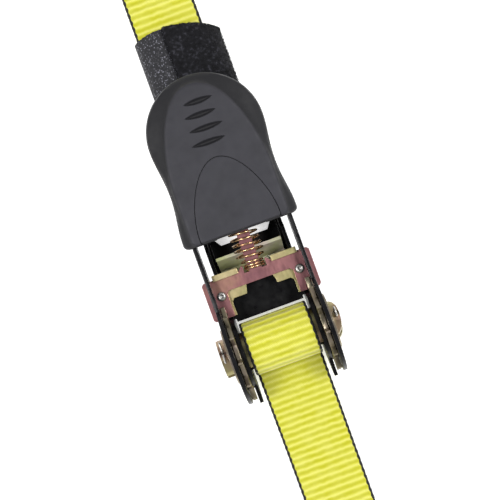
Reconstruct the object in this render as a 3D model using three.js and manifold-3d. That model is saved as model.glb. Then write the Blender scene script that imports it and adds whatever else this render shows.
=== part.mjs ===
// Ratchet tie down for one inch webbing, closed, lying on a flat surface.
// Units are millimetres. X runs across the strap, +Y from the ratchet towards the handle tip
// and the short strap, +Z up. The origin is on the underside of the base frame's web.
import * as THREE from "three";
import { mergeVertices } from "three/addons/utils/BufferGeometryUtils.js";
import Module from "manifold-3d";

const wasm = await Module();
wasm.setup();

// ---- driving dimensions ----
const GAP = 0.3; // clearance between neighbouring pieces
const AXLE_Y = -29; // axle centre, along the object
const AXLE_Z = 20; // axle centre, above the resting surface
const FLOOR = -AXLE_Z; // resting surface, seen from the axle

const WEBBING = { width: 25.4, thick: 1.3 };
const PLY_STEP = WEBBING.thick + GAP;

const FRAME = { inner: 13.7, outer: 15.0, webThick: 1.4, webNear: 13, webMid: 39, webFar: 43.6 };
const FRAME_LOBE = 12.6;
const FRAME_WALL_TOP = -3.2;
const GEAR = { inner: 15.3, outer: 16.9, tip: 17.9, root: 14.0, teeth: 12 };
const HANDLE_PLATE = { inner: 17.2, outer: 18.7, round: 18.4, bottom: -4.0, top: 7.2, end: 68 };
const WASHER = { inner: 19.0, outer: 19.7, radius: 10.2 };
const MANDREL = { radius: 7.0, slot: 3.4, end: 22.6, tilt: 20 };
const AXLE_BORE = MANDREL.radius + GAP;
const ROLL_RADIUS = 10.5; // webbing wound on the spool
const COTTER = { x: 21.2, wire: 0.42, hole: 1.3 };

const ANCHOR = { y: 70, z: -13.4, lobe: 6.6, bolt: 3.0 };

const DRIVE_PAWL = { thick: 1.6, tip: 15.4, armEnd: 13.4, far: 28, ear: 20.5, travel: 5.5 };
const TONGUE = { half: 2.35, end: 56 };
const BACKING = { bottom: -2.3, top: -1.1, foldNear: 6.4, foldFar: 16.0, lip: 2.2 };
const PAWL_RIVET = { x: 14.9, y: 21.5 };
const PULL_TAB = { half: 8, near: 50, far: 56, drop: -9.4, thick: 1.2, rivetY: 52.4 };
const LOCK_PAWL = { z: -9.5, thick: 1.8, tip: 11.7, ear: 16.8, travel: 4.2 };
const BRACKET = { half: 12.6, thick: 1.2, foot: FLOOR + FRAME.webThick + GAP + 0.6 };
const BRACKET_RIVET = { x: 8, y: 23 };
const DRIVE_SPRING = { wire: 0.36, near: 27.5, far: 45.2, closeRadius: 3.5, openRadius: 5.1 };
const LOCK_SPRING = { wire: 0.35, near: 24.3, far: 31.0, radius: 3.1 };
const CROSSBAR = { near: 46, far: 47.5 };
const SPACER = { y: 64, z: 4, radius: 2.6 };

const COVER = {
  near: 41.2,
  half: 21.4,
  waist: 19.8,
  waistY: 61,
  tipRadius: 21.3,
  tipY: 78.4,
  bottom: -6,
  split: -2,
  rim: 8.4,
  crown: 10.6,
};
const PANEL = { half: 14.9, apex: 68.6, thick: 1.0 };
const CAVITY = { half: 19.0, end: 70, bottom: -4.3, top: 7.5 };
const SCREW = { x: 10, y: 86, shank: 1.25, head: 2.3 };
// four grip grooves: the middle of each, and half its width
const LEAVES = [
  { x: 1.0, y: 89.4, half: 5.4 },
  { x: 0.2, y: 84.7, half: 5.9 },
  { x: 0.6, y: 79.7, half: 6.3 },
  { x: -0.3, y: 74.6, half: 6.3 },
];

const HANK = { near: -112.3, length: 110, plies: 14, plyStep: 1.45 };
const TIE = { y: -167, width: 16, thick: 1.6 };
const WRAP = { near: 86, far: 121, x: 1.6, half: 16.1, top: -6.7, tape: 1.6, seam: -3.2 };

const HOOK = { wire: 2.5, barZ: FLOOR + 4.4, legX: 17.2, closeX: 2.9, bend: 9 };
const SHORT_HOOK_Y = 186;
const LONG_HOOK_Y = -247;

// ---- finishes ----
const finish = (color, roughness, metalness) => ({ color, roughness, metalness });
const BLACK_STEEL = finish(0x1c1c1e, 0.45, 0.6);
const GREY_STEEL = finish(0x6c6d70, 0.4, 0.8);
const PINK_ZINC = finish(0xa86f70, 0.38, 0.85);
const GOLD_ZINC = finish(0xa79f66, 0.36, 0.85);
const SPRING_STEEL = finish(0xb58a62, 0.3, 0.9);
const GRIP = finish(0x4b4b50, 0.7, 0.0);
const YELLOW_WEBBING = finish(0xe2e23a, 0.85, 0.0);
const BLACK_TAPE = finish(0x222226, 0.95, 0.0);
const VINYL = finish(0x161616, 0.4, 0.0);

// ---- solids ----
const deg = THREE.MathUtils.degToRad;

// A closed geometry as a solid that can be joined and cut.
function solid(geometry) {
  const merged = geometry.clone();
  merged.deleteAttribute("normal");
  merged.deleteAttribute("uv");
  const indexed = mergeVertices(merged, 1e-4);
  const corners = indexed.index.array;
  const triVerts = [];
  for (let i = 0; i < corners.length; i += 3) {
    const [a, b, c] = corners.slice(i, i + 3);
    if (a !== b && b !== c && c !== a) triVerts.push(a, b, c);
  }
  return new wasm.Manifold(
    new wasm.Mesh({
      numProp: 3,
      vertProperties: Float32Array.from(indexed.attributes.position.array),
      triVerts: Uint32Array.from(triVerts),
    }),
  );
}

function geometryOf(body) {
  const mesh = body.getMesh();
  const indexed = new THREE.BufferGeometry();
  indexed.setAttribute("position", new THREE.BufferAttribute(mesh.vertProperties, 3));
  indexed.setIndex(new THREE.BufferAttribute(mesh.triVerts, 1));
  const flat = indexed.toNonIndexed();
  flat.computeVertexNormals();
  return flat;
}

const joined = (...parts) => parts.reduce((whole, part) => whole.add(part));
const trimmed = (body, ...tools) => tools.reduce((rest, tool) => rest.subtract(tool), body);

// A block given by its lowest and highest corners.
function block(x0, x1, y0, y1, z0, z1) {
  const geometry = new THREE.BoxGeometry(x1 - x0, y1 - y0, z1 - z0);
  geometry.translate((x0 + x1) / 2, (y0 + y1) / 2, (z0 + z1) / 2);
  return solid(geometry);
}

const CURVE = 9; // segments in a quarter or a bend; large discs use ROUND
const ROUND = 28;

function extruded(shape, depth, options = {}) {
  return new THREE.ExtrudeGeometry(shape, { depth, bevelEnabled: false, curveSegments: CURVE, ...options });
}

// A plan outline (x, y) between two heights.
function plate(shape, z0, z1, options) {
  return solid(extruded(shape, z1 - z0, options).translate(0, 0, z0));
}

// A side outline (y, z) between two places across the strap.
function sidePlate(shape, x0, x1, curveSegments = CURVE) {
  const turn = new THREE.Matrix4().makeBasis(
    new THREE.Vector3(0, 1, 0),
    new THREE.Vector3(0, 0, 1),
    new THREE.Vector3(1, 0, 0),
  );
  const geometry = extruded(shape, x1 - x0, { curveSegments });
  return solid(geometry.applyMatrix4(turn).translate(x0, 0, 0));
}

// An end-on outline (x, z) between two places along the object.
function endPlate(shape, y0, y1) {
  return solid(extruded(shape, y1 - y0).rotateX(Math.PI / 2).translate(0, y1, 0));
}

// A round bar across the strap, its axis at (y, z).
function crossRod(radius, x0, x1, y = 0, z = 0, sides = 32) {
  const geometry = new THREE.CylinderGeometry(radius, radius, x1 - x0, sides);
  return solid(geometry.rotateZ(Math.PI / 2).translate((x0 + x1) / 2, y, z));
}

// A round bar standing at (x, y).
function post(radius, x, y, z0, z1, sides = 12) {
  const geometry = new THREE.CylinderGeometry(radius, radius, z1 - z0, sides);
  return solid(geometry.rotateX(Math.PI / 2).translate(x, y, (z0 + z1) / 2));
}

function outline(points) {
  return new THREE.Shape(points.map(([a, b]) => new THREE.Vector2(a, b)));
}

// A plan outline from its right half, listed upwards or downwards, and its mirror image.
function mirrored(rightHalf) {
  const left = rightHalf.map(([x, y]) => [-x, y]).reverse();
  return outline([...rightHalf, ...left]);
}

const mirroredX = (body) => body.mirror([1, 0, 0]);

// The closed outline of a band of even thickness along a side path (y, z).
function bandShape(path, thick) {
  const sides = [[], []];
  path.forEach((point, i) => {
    const before = path[Math.max(i - 1, 0)];
    const after = path[Math.min(i + 1, path.length - 1)];
    const along = after.clone().sub(before).normalize();
    const across = new THREE.Vector2(-along.y, along.x).multiplyScalar(thick / 2);
    sides[0].push(point.clone().add(across));
    sides[1].push(point.clone().sub(across));
  });
  return new THREE.Shape([...sides[0], ...sides[1].reverse()]);
}

const smooth = (points, count) =>
  new THREE.SplineCurve(points.map(([y, z]) => new THREE.Vector2(y, z))).getSpacedPoints(count);

function arcPoints(y, z, radius, from, to, count) {
  return Array.from({ length: count + 1 }, (_, i) => {
    const angle = deg(from + ((to - from) * i) / count);
    return new THREE.Vector2(y + radius * Math.cos(angle), z + radius * Math.sin(angle));
  });
}

function strapBand(path) {
  return sidePlate(bandShape(path, WEBBING.thick), -WEBBING.width / 2, WEBBING.width / 2);
}

// A round wire along a 3-D path.
function wire(points, radius, steps, sides) {
  const section = new THREE.Shape();
  section.absarc(0, 0, radius, 0, 2 * Math.PI, false);
  const path = new THREE.CatmullRomCurve3(points.map(([x, y, z]) => new THREE.Vector3(x, y, z)));
  const options = { steps, extrudePath: path, bevelEnabled: false, curveSegments: sides };
  return solid(new THREE.ExtrudeGeometry(section, options));
}

// ---- the assembly ----
const object = new THREE.Group();
const atAxle = new THREE.Group();
atAxle.position.set(0, AXLE_Y, AXLE_Z);
object.add(atAxle);

function add(name, body, look) {
  const mesh = new THREE.Mesh(geometryOf(body), new THREE.MeshStandardMaterial(look));
  mesh.name = name;
  atAxle.add(mesh);
}

// Base frame: a channel with two walls, an axle bore and a heel at the ratchet end, a web that
// carries the lock pawl, and two lobes that hold the short strap's bolt.
function baseFrame() {
  const bend = 2.2;
  const inside = bend - FRAME.webThick;
  const { inner, outer, webThick } = FRAME;
  const channel = new THREE.Shape();
  channel.moveTo(-outer, 16);
  channel.lineTo(-outer, FLOOR + bend);
  channel.absarc(-outer + bend, FLOOR + bend, bend, Math.PI, 1.5 * Math.PI, false);
  channel.absarc(outer - bend, FLOOR + bend, bend, 1.5 * Math.PI, 2 * Math.PI, false);
  channel.lineTo(outer, 16);
  channel.lineTo(inner, 16);
  channel.absarc(inner - inside, FLOOR + webThick + inside, inside, 0, -0.5 * Math.PI, true);
  channel.absarc(-inner + inside, FLOOR + webThick + inside, inside, -0.5 * Math.PI, -Math.PI, true);
  channel.lineTo(-inner, 16);

  const wall = new THREE.Shape();
  wall.absarc(0, 0, FRAME_LOBE, deg(-10), deg(187), false);
  wall.absarc(0, 0, AXLE_Z, deg(190), deg(270), false);
  wall.absarc(ANCHOR.y, ANCHOR.z, ANCHOR.lobe, deg(-90), deg(90), false);
  wall.lineTo(COVER.near + 1.4, COVER.bottom - 1.2);
  wall.lineTo(38, FRAME_WALL_TOP);
  wall.lineTo(FRAME_LOBE + 1.4, FRAME_WALL_TOP);

  const webEnd = outline([
    [-inner, FRAME.webFar],
    [-12.4, FRAME.webFar],
    [-9.2, FRAME.webMid],
    [9.2, FRAME.webMid],
    [12.4, FRAME.webFar],
    [inner, FRAME.webFar],
    [inner, 90],
    [-inner, 90],
  ]);
  const slotHalf = LOCK_PAWL.thick / 2 + GAP;
  const slotFar = LOCK_PAWL.tip + 10 + LOCK_PAWL.travel + GAP;
  const blank = endPlate(channel, -24, 80).intersect(sidePlate(wall, -outer - 1, outer + 1, 14));
  return trimmed(
    blank,
    crossRod(AXLE_BORE, -16, 16),
    crossRod(ANCHOR.bolt + GAP, -16, 16, ANCHOR.y, ANCHOR.z, 16),
    block(-inner, inner, -30, FRAME.webNear, FLOOR - 1, FLOOR + 2.6),
    plate(webEnd, FLOOR - 1, FLOOR + 2.6),
    block(-16, 16, LOCK_PAWL.tip - 0.4, slotFar, LOCK_PAWL.z - slotHalf, LOCK_PAWL.z + slotHalf),
    ...[-1, 1].map((side) => post(1.6, side * BRACKET_RIVET.x, BRACKET_RIVET.y, FLOOR - 1, FLOOR + 3)),
  );
}

// Bracket riveted to the web: its leaning leg carries the lock pawl's spring.
function lockSpringBracket() {
  const { half, thick, foot } = BRACKET;
  const path = [
    [20, foot],
    [30.2, foot],
    [34.4, -7],
  ].map(([y, z]) => new THREE.Vector2(y, z));
  return trimmed(
    sidePlate(bandShape(path, thick), -half, half),
    block(-2.4, 2.4, 31, 36, LOCK_PAWL.z - 1.8, LOCK_PAWL.z + 1.8),
    ...[-1, 1].map((side) => post(1.6, side * BRACKET_RIVET.x, BRACKET_RIVET.y, foot - 2, foot + 2)),
  );
}

function bracketRivet(side) {
  const { x, y } = BRACKET_RIVET;
  const seat = BRACKET.foot + BRACKET.thick / 2 + GAP;
  return joined(
    post(1.3, side * x, y, FLOOR + 0.1, seat + 0.5),
    post(2.4, side * x, y, seat, seat + 1.1),
  );
}

// Anchor bolt for the short strap, its head on the left and its nut on the right.
function anchorBolt() {
  const { y, z, bolt } = ANCHOR;
  const head = crossRod(4.7, -FRAME.outer - GAP - 2.4, -FRAME.outer - GAP, y, z, 16);
  return joined(crossRod(bolt, -FRAME.outer - 1, FRAME.outer + 4.2, y, z, 16), head);
}

function anchorNut() {
  const { y, z, bolt } = ANCHOR;
  const x0 = FRAME.outer + GAP;
  return trimmed(crossRod(5.2, x0, x0 + 3.2, y, z, 6), crossRod(bolt + GAP, x0 - 1, x0 + 5, y, z, 16));
}

// Lock pawl: a flat plate that slides along Y, with a tip for each gear and a tail in its spring.
function lockPawl() {
  const { tip, ear, z, thick } = LOCK_PAWL;
  const half = FRAME.inner - 0.8;
  const shape = mirrored([
    [half, tip - 1.2],
    [half, tip],
    [ear, tip],
    [ear, tip + 10],
    [half, tip + 10],
    [half, 23.5],
    [2, 23.5],
    [2, 36],
  ]);
  return plate(shape, z - thick / 2, z + thick / 2);
}

// A compression spring along Y at a height: its radius and place follow two functions of turns.
function coilSpring(turns, radiusAt, placeAt, z, wireRadius) {
  const perTurn = 10;
  const points = Array.from({ length: turns * perTurn + 1 }, (_, i) => {
    const turn = i / perTurn;
    const angle = 2 * Math.PI * turn;
    return [radiusAt(turn) * Math.cos(angle), placeAt(turn), z + radiusAt(turn) * Math.sin(angle)];
  });
  return wire(points, wireRadius, turns * perTurn, 3);
}

// The drive pawl's spring: two close turns round the tongue's root, seven open wide ones and a close one.
function driveSpring() {
  const { near, far, closeRadius, openRadius } = DRIVE_SPRING;
  const [closeTurns, openTurns, endTurns] = [2, 7, 1];
  const turns = closeTurns + openTurns + endTurns;
  const closeStep = 0.95;
  const openStep = (far - near - (closeTurns + endTurns) * closeStep) / openTurns;
  const placeAt = (turn) => {
    if (turn <= closeTurns) return near + turn * closeStep;
    const open = near + closeTurns * closeStep + (turn - closeTurns) * openStep;
    return Math.min(open, far - (turns - turn) * closeStep);
  };
  const opening = (turn) => THREE.MathUtils.clamp((turn - closeTurns) / 1.5, 0, 1);
  const radiusAt = (turn) => THREE.MathUtils.lerp(closeRadius, openRadius, opening(turn));
  return coilSpring(turns, radiusAt, placeAt, 0, DRIVE_SPRING.wire);
}

function lockSpring() {
  const { near, far, radius } = LOCK_SPRING;
  const turns = 4;
  const placeAt = (turn) => near + ((far - near) * turn) / turns;
  return coilSpring(turns, () => radius, placeAt, LOCK_PAWL.z, LOCK_SPRING.wire);
}

// Handle side plate: a disc round the axle and a bar into the grip, with a slot for the pawl's ear.
function handlePlate() {
  const { inner, outer, round, bottom, top, end } = HANDLE_PLATE;
  const corner = 4;
  const shape = new THREE.Shape();
  shape.absarc(0, 0, round, Math.asin(top / round), 2 * Math.PI + Math.asin(bottom / round), false);
  shape.absarc(end - corner, bottom + corner, corner, -0.5 * Math.PI, 0, false);
  shape.absarc(end - corner, top - corner, corner, 0, 0.5 * Math.PI, false);
  const slotFar = DRIVE_PAWL.far + DRIVE_PAWL.travel + GAP;
  const slotHalf = DRIVE_PAWL.thick / 2 + GAP;
  return trimmed(
    sidePlate(shape, inner, outer, ROUND),
    crossRod(AXLE_BORE, inner - 1, outer + 1),
    block(inner - 1, outer + 1, DRIVE_PAWL.armEnd - 0.5, slotFar, -slotHalf, slotHalf),
    block(inner - 1, outer + 1, CROSSBAR.near - GAP, CROSSBAR.far + GAP, 2.1, 6.3),
    crossRod(2.1, inner - 1, outer + 1, SPACER.y, SPACER.z, 16),
  );
}

// Crossbar: the drive spring pushes on it, and the pawl's tongue slides through it.
function crossbar() {
  const reach = HANDLE_PLATE.inner - GAP;
  const { near, far } = CROSSBAR;
  const bar = joined(
    block(-reach, reach, near, far, -3.9, 7.1),
    block(-HANDLE_PLATE.outer, HANDLE_PLATE.outer, near, far, 2.4, 6.0),
  );
  const slotHalf = DRIVE_PAWL.thick / 2 + GAP;
  return trimmed(bar, block(-TONGUE.half - GAP, TONGUE.half + GAP, near - 1, far + 1, -slotHalf, slotHalf));
}

function handleSpacer() {
  const reach = HANDLE_PLATE.inner - GAP;
  const { y, z, radius } = SPACER;
  return joined(
    crossRod(radius, -reach, reach, y, z, 16),
    crossRod(1.8, -HANDLE_PLATE.outer, HANDLE_PLATE.outer, y, z, 16),
  );
}

// Drive pawl: arms and ears that reach the gears, a crossbar, and a tongue through the spring.
function drivePawlPlate() {
  const { thick, tip, armEnd, far, ear } = DRIVE_PAWL;
  const gearNear = GEAR.inner - 0.2;
  const gearFar = GEAR.outer + 0.25;
  const shape = mirrored([
    [11.6, 22.7],
    [12.6, 21.7],
    [12.6, armEnd],
    [gearNear, armEnd],
    [gearNear, tip],
    [gearFar, tip],
    [gearFar, armEnd],
    [ear - 0.8, armEnd],
    [ear, armEnd + 0.8],
    [ear, far - 0.8],
    [ear - 0.8, far],
    [6.2, far],
    [4.8, far + 1.4],
    [4.3, far + 1.4],
    [4.3, 26.7],
    [TONGUE.half, 26.7],
    [TONGUE.half, TONGUE.end],
  ]);
  return trimmed(
    plate(shape, -thick / 2, thick / 2),
    ...[-1, 1].map((side) => post(1.5, side * PAWL_RIVET.x, PAWL_RIVET.y, -2, 2)),
    post(1.5, 0, PULL_TAB.rivetY, -2, 2),
  );
}

// Backing plate under the pawl, with two tabs folded over the pawl's far edge.
function drivePawlBacking() {
  const { bottom, top, foldNear, foldFar, lip } = BACKING;
  const sheet = top - bottom;
  const edge = DRIVE_PAWL.far + 1.6;
  const shape = mirrored([
    [5.0, 22.9],
    [5.9, 19.4],
    [10.8, 19.4],
    [11.8, 18.4],
    [11.8, DRIVE_PAWL.armEnd],
    [15.0, DRIVE_PAWL.armEnd],
    [15.0, 18.6],
    [16.9, 18.6],
    [16.9, DRIVE_PAWL.far],
    [foldFar, DRIVE_PAWL.far],
    [foldFar, edge],
    [foldNear, edge],
    [foldNear, 26.2],
  ]);
  const foldTop = DRIVE_PAWL.thick / 2 + GAP + sheet;
  const fold = joined(
    block(foldNear, foldFar, edge - sheet, edge, bottom, foldTop),
    block(foldNear, foldFar, edge - lip, edge, foldTop - sheet, foldTop),
  );
  return trimmed(
    joined(plate(shape, bottom, top), fold, mirroredX(fold)),
    ...[-1, 1].map((side) => post(1.5, side * PAWL_RIVET.x, PAWL_RIVET.y, -4, 0)),
  );
}

function rivet(x, y, z0, z1, headTop, headBottom) {
  const head = 1.7;
  return joined(
    post(1.2, x, y, z0, z1, 16),
    post(head, x, y, z1 - headTop, z1, 16),
    post(head, x, y, z0, z0 + headBottom, 16),
  );
}

// Pull tab under the grip: a finger pulls it towards the tip to lift the drive pawl.
function pullTab() {
  const { half, near, far, drop, thick, rivetY } = PULL_TAB;
  const path = [
    [near, BACKING.top - thick / 2],
    [far - 1.2, BACKING.top - thick / 2],
    [far - 0.5, BACKING.top - 1.5],
    [far - 0.5, drop + 1.6],
    [far + 0.8, drop + 0.5],
  ].map(([y, z]) => new THREE.Vector2(y, z));
  return trimmed(sidePlate(bandShape(path, thick), -half, half), post(1.5, 0, rivetY, -4, 0));
}

// Grip outline in plan, from the flat near edge round the waist to the round tip.
function gripShape(grow = 0) {
  const { near, half, waist, waistY, tipRadius, tipY } = COVER;
  const shape = new THREE.Shape();
  const side = half + grow;
  shape.moveTo(-side + 2, near - grow);
  shape.lineTo(side - 2, near - grow);
  shape.quadraticCurveTo(side, near - grow, side, near + 2 - grow);
  shape.bezierCurveTo(side, near + 9, waist + grow, waistY - 7, waist + grow, waistY);
  shape.bezierCurveTo(waist + grow, waistY + 7, tipRadius + grow, tipY - 6, tipRadius + grow, tipY);
  shape.absarc(0, tipY, tipRadius + grow, 0, Math.PI, false);
  shape.bezierCurveTo(-tipRadius - grow, tipY - 6, -waist - grow, waistY + 7, -waist - grow, waistY);
  shape.bezierCurveTo(-waist - grow, waistY - 7, -side, near + 9, -side, near + 2 - grow);
  shape.quadraticCurveTo(-side, near - grow, -side + 2, near - grow);
  return shape;
}

// A pointed arch in plan: half width at its near edge, and its apex.
function archShape(near, half, straight, apex, lean) {
  const shape = new THREE.Shape();
  const reach = apex - straight;
  shape.moveTo(-half, near);
  shape.lineTo(half, near);
  shape.lineTo(half, straight);
  shape.bezierCurveTo(half, straight + 0.4 * reach, lean, apex, 0, apex);
  shape.bezierCurveTo(-lean, apex, -half, straight + 0.4 * reach, -half, straight);
  return shape;
}

// A plan outline between two heights, with its top and bottom edges rounded.
function roundedPlate(shape, z0, z1, edge, count) {
  const even = new THREE.Shape(shape.getSpacedPoints(count).slice(0, -1));
  return plate(even, z0 + edge, z1 - edge, {
    bevelEnabled: true,
    bevelSize: edge,
    bevelThickness: edge,
    bevelOffset: -edge,
    bevelSegments: 2,
  });
}

const gripBlank = () => roundedPlate(gripShape(), COVER.bottom, COVER.rim, 1.6, 56);

function gripCavity() {
  const { half, end, bottom, top } = CAVITY;
  return joined(
    block(-half, half, COVER.near - 3, end, bottom, top),
    post(COVER.tipRadius - 3.1, 0, COVER.tipY, bottom, 6.6, 24),
  );
}

const screwBosses = () => [-1, 1].map((side) => post(3.2, side * SCREW.x, SCREW.y, -5, 8));
const screwHoles = () => [-1, 1].map((side) => post(SCREW.shank + GAP, side * SCREW.x, SCREW.y, -7, 4.9));

// One leaf-shaped grip groove across the crown.
function leafGroove({ x, y, half }) {
  const shape = new THREE.Shape();
  shape.moveTo(x - half, y);
  shape.quadraticCurveTo(x, y - 2.3, x + half, y);
  shape.quadraticCurveTo(x, y + 2.1, x - half, y);
  return plate(shape, COVER.crown - 1.0, COVER.crown + 1, { curveSegments: 4 });
}

function coverTop() {
  const crown = roundedPlate(archShape(COVER.near, 18.2, 60, 96.2, 12), COVER.rim - 2, COVER.crown, 0.9, 40);
  const cavity = trimmed(gripCavity(), ...screwBosses());
  const inset = archShape(COVER.near - 2, PANEL.half + GAP, 43, PANEL.apex + GAP, 8);
  return trimmed(
    joined(gripBlank(), crown),
    cavity,
    block(-30, 30, 0, 120, -20, COVER.split),
    ...screwHoles(),
    plate(inset, COVER.crown - PANEL.thick - GAP, COVER.crown + 2),
    ...LEAVES.map(leafGroove),
  );
}

function coverPanel() {
  const shape = archShape(COVER.near + 0.6, PANEL.half, 43, PANEL.apex, 8);
  return plate(shape, COVER.crown - PANEL.thick, COVER.crown);
}

function coverBottom() {
  const cavity = trimmed(gripCavity(), ...screwBosses());
  return trimmed(
    gripBlank(),
    cavity,
    block(-30, 30, 0, 120, COVER.split - GAP, 20),
    block(-9.5, 9.5, 30, 66, -10, 5),
    ...screwHoles(),
    ...[-1, 1].map((side) => post(SCREW.head + GAP, side * SCREW.x, SCREW.y, -8, -4.3)),
  );
}

function coverScrew(side) {
  const { x, y, shank, head } = SCREW;
  return joined(post(shank, side * x, y, -5, 4.4, 12), post(head, side * x, y, -5.9, -4.3 - GAP, 16));
}

// ---- spool ----
const slotNormal = new THREE.Vector2(Math.sin(deg(MANDREL.tilt)), Math.cos(deg(MANDREL.tilt)));

// A block turned with the spool's slot: u along the slot, w across it, both seen end-on.
function slotBlock(x0, x1, u0, u1, w0, w1) {
  const geometry = new THREE.BoxGeometry(x1 - x0, u1 - u0, w1 - w0);
  geometry.translate((x0 + x1) / 2, (u0 + u1) / 2, (w0 + w1) / 2);
  return solid(geometry.rotateX(-deg(MANDREL.tilt)));
}

// Half of the split spool shaft, square at its left end and rounded at its right.
function mandrelHalf(side) {
  const { radius, slot, end } = MANDREL;
  const profile = new THREE.Shape();
  profile.moveTo(-end, -radius);
  profile.lineTo(end - 4, -radius);
  profile.quadraticCurveTo(end, -radius + 1, end, 0);
  profile.quadraticCurveTo(end, radius - 1, end - 4, radius);
  profile.lineTo(-end, radius);
  const rounded = solid(extruded(profile, 2 * radius + 2, { curveSegments: 4 })
    .translate(0, 0, -radius - 1)
    .rotateX(-deg(MANDREL.tilt)));
  const half = crossRod(radius, -end, end).intersect(rounded);
  const [w0, w1] = side > 0 ? [slot / 2, 10] : [-10, -slot / 2];
  const keep = slotBlock(-30, 30, -10, 10, w0, w1);
  return trimmed(half.intersect(keep), cotterHole(-COTTER.x), cotterHole(COTTER.x));
}

function cotterHole(x) {
  const geometry = new THREE.CylinderGeometry(COTTER.hole, COTTER.hole, 20, 16);
  return solid(geometry.rotateX(Math.PI / 2 - deg(MANDREL.tilt)).translate(x, 0, 0));
}

// Split pin: a wire doubled through the shaft, with an eye at one end and bent legs at the other.
function cotterPin(x, legsUp) {
  const leg = (side) => [
    [side * 3.6, 8.5],
    [side * 2.0, 8.0],
    [side * 0.6, 7.2],
    [side * 0.5, 3.0],
    [side * 0.5, -6.6],
  ];
  const eye = arcPoints(0, -9.2, 1.5, 50, -230, 10).map((point) => [point.x, point.y]);
  const route = [...leg(1), ...eye, ...leg(-1).reverse()];
  const up = legsUp ? 1 : -1;
  const along = new THREE.Vector2(slotNormal.y, -slotNormal.x);
  const points = route.map(([u, w]) => [
    x,
    up * (u * along.x + w * slotNormal.x),
    up * (u * along.y + w * slotNormal.y),
  ]);
  return wire(points, COTTER.wire, 30, 3);
}

// Ratchet gear: steep faces stop the spool unwinding, sloping backs let the pawls ride over.
function ratchetGear() {
  const { inner, outer, tip, root, teeth } = GEAR;
  const pitch = 360 / teeth;
  const at = (radius, angle) => [radius * Math.cos(deg(angle)), radius * Math.sin(deg(angle))];
  const points = Array.from({ length: teeth }, (_, i) => [
    at(root, i * pitch - 7),
    at(root, i * pitch + 3.9),
    at(tip, i * pitch + 5.4),
    at(tip, i * pitch + 7.6),
    at(root, i * pitch + 11.8),
  ]).flat();
  const hole = trimmed(
    crossRod(AXLE_BORE, inner - 1, outer + 1),
    slotBlock(inner - 2, outer + 2, -10, 10, -MANDREL.slot / 2 + GAP, MANDREL.slot / 2 - GAP),
  );
  return trimmed(sidePlate(outline(points), inner, outer), hole);
}

function axleWasher() {
  return trimmed(
    crossRod(WASHER.radius, WASHER.inner, WASHER.outer),
    crossRod(AXLE_BORE, WASHER.inner - 1, WASHER.outer + 1),
  );
}

// Webbing wound on the spool, with the ply that runs through the spool's slot.
function woundStrap() {
  const half = WEBBING.width / 2;
  const reach = AXLE_BORE + 0.5;
  const ring = trimmed(crossRod(ROLL_RADIUS, -half, half), crossRod(AXLE_BORE, -half - 1, half + 1));
  const ply = slotBlock(-half, half, -reach, reach, -WEBBING.thick / 2, WEBBING.thick / 2);
  return joined(ring, ply);
}

// ---- straps ----
const HOOK_LOOP = HOOK.wire + GAP + WEBBING.thick / 2;
const LYING = FLOOR + WEBBING.thick / 2 + 0.1; // middle of a ply that lies on the surface

// The sewn loop round a hook's bar: in over the bar, round it, and back underneath.
function hookLoop(barY, way, from, back) {
  const over = smooth(
    [
      [from, LYING + PLY_STEP],
      [barY - way * 14, LYING + PLY_STEP],
      [barY - way * 8, HOOK.barZ + 0.4],
      [barY - way * 3, HOOK.barZ + HOOK_LOOP - 0.4],
    ],
    18,
  );
  const round = arcPoints(0, HOOK.barZ, HOOK_LOOP, 80, -90, 8).map(
    (point) => new THREE.Vector2(barY + way * point.x, point.y),
  );
  const under = [new THREE.Vector2(barY - way * 12, LYING), new THREE.Vector2(barY - way * back, LYING)];
  return [...over, ...round, ...under];
}

// The short strap: sewn round the anchor bolt, out through the wrap, and down to its hook.
function shortStrap() {
  const { y, z, bolt } = ANCHOR;
  const loop = bolt + GAP + WEBBING.thick / 2;
  const half = PLY_STEP / 2;
  // heights of the middle of the two sewn plies, from the wrap down to the surface
  const sag = [
    [124, z],
    [132, z - 0.7],
    [140, z - 2.6],
    [148, LYING + half + 0.5],
  ];
  const lower = smooth(
    [...sag.toReversed(), [84, z], [78, z - 0.6], [73, z - loop + half + 0.3]].map(([u, w]) => [u, w - half]),
    26,
  );
  const round = arcPoints(y, z, loop, -80, -280, 10);
  const upper = smooth(
    [[73, z + loop - half - 0.3], [78, z + 0.6], [84, z], ...sag].map(([u, w]) => [u, w + half]),
    26,
  );
  return strapBand([...lower, ...round, ...upper, ...hookLoop(SHORT_HOOK_Y, 1, 155, 27)]);
}

// The long strap leaves from under the roll and comes down to the surface.
function longStrapRun() {
  const top = -ROLL_RADIUS - GAP - WEBBING.thick / 2;
  const route = [
    [3, top - 0.1],
    [-3, top - 0.1],
    [-14, top - 0.9],
    [-30, top - 3.8],
    [-46, LYING + 1.0],
    [-60, LYING],
    [HANK.near + GAP, LYING],
  ];
  return strapBand(smooth(route, 26));
}

// The rest of the long strap, folded to and fro in one flat bundle.
function longStrapHank() {
  const { near, length, plies, plyStep } = HANK;
  const top = FLOOR + 0.1 + plies * plyStep;
  const r = 4;
  const far = near - length;
  const shape = new THREE.Shape();
  shape.absarc(near - r, FLOOR + 0.1 + r, r, deg(-90), 0, false);
  shape.absarc(near - r, top - r, r, 0, deg(90), false);
  shape.absarc(far + r, top - r, r, deg(90), deg(180), false);
  shape.absarc(far + r, FLOOR + 0.1 + r, r, deg(180), deg(270), false);
  const halfTie = TIE.width / 2 + GAP;
  return trimmed(
    sidePlate(shape, -WEBBING.width / 2, WEBBING.width / 2),
    block(-20, 20, TIE.y - halfTie, TIE.y + halfTie, FLOOR - 1, FLOOR + 0.1 + TIE.thick + GAP),
    block(-20, 20, TIE.y - halfTie, TIE.y + halfTie, top - TIE.thick - GAP, top + 1),
  );
}

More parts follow.
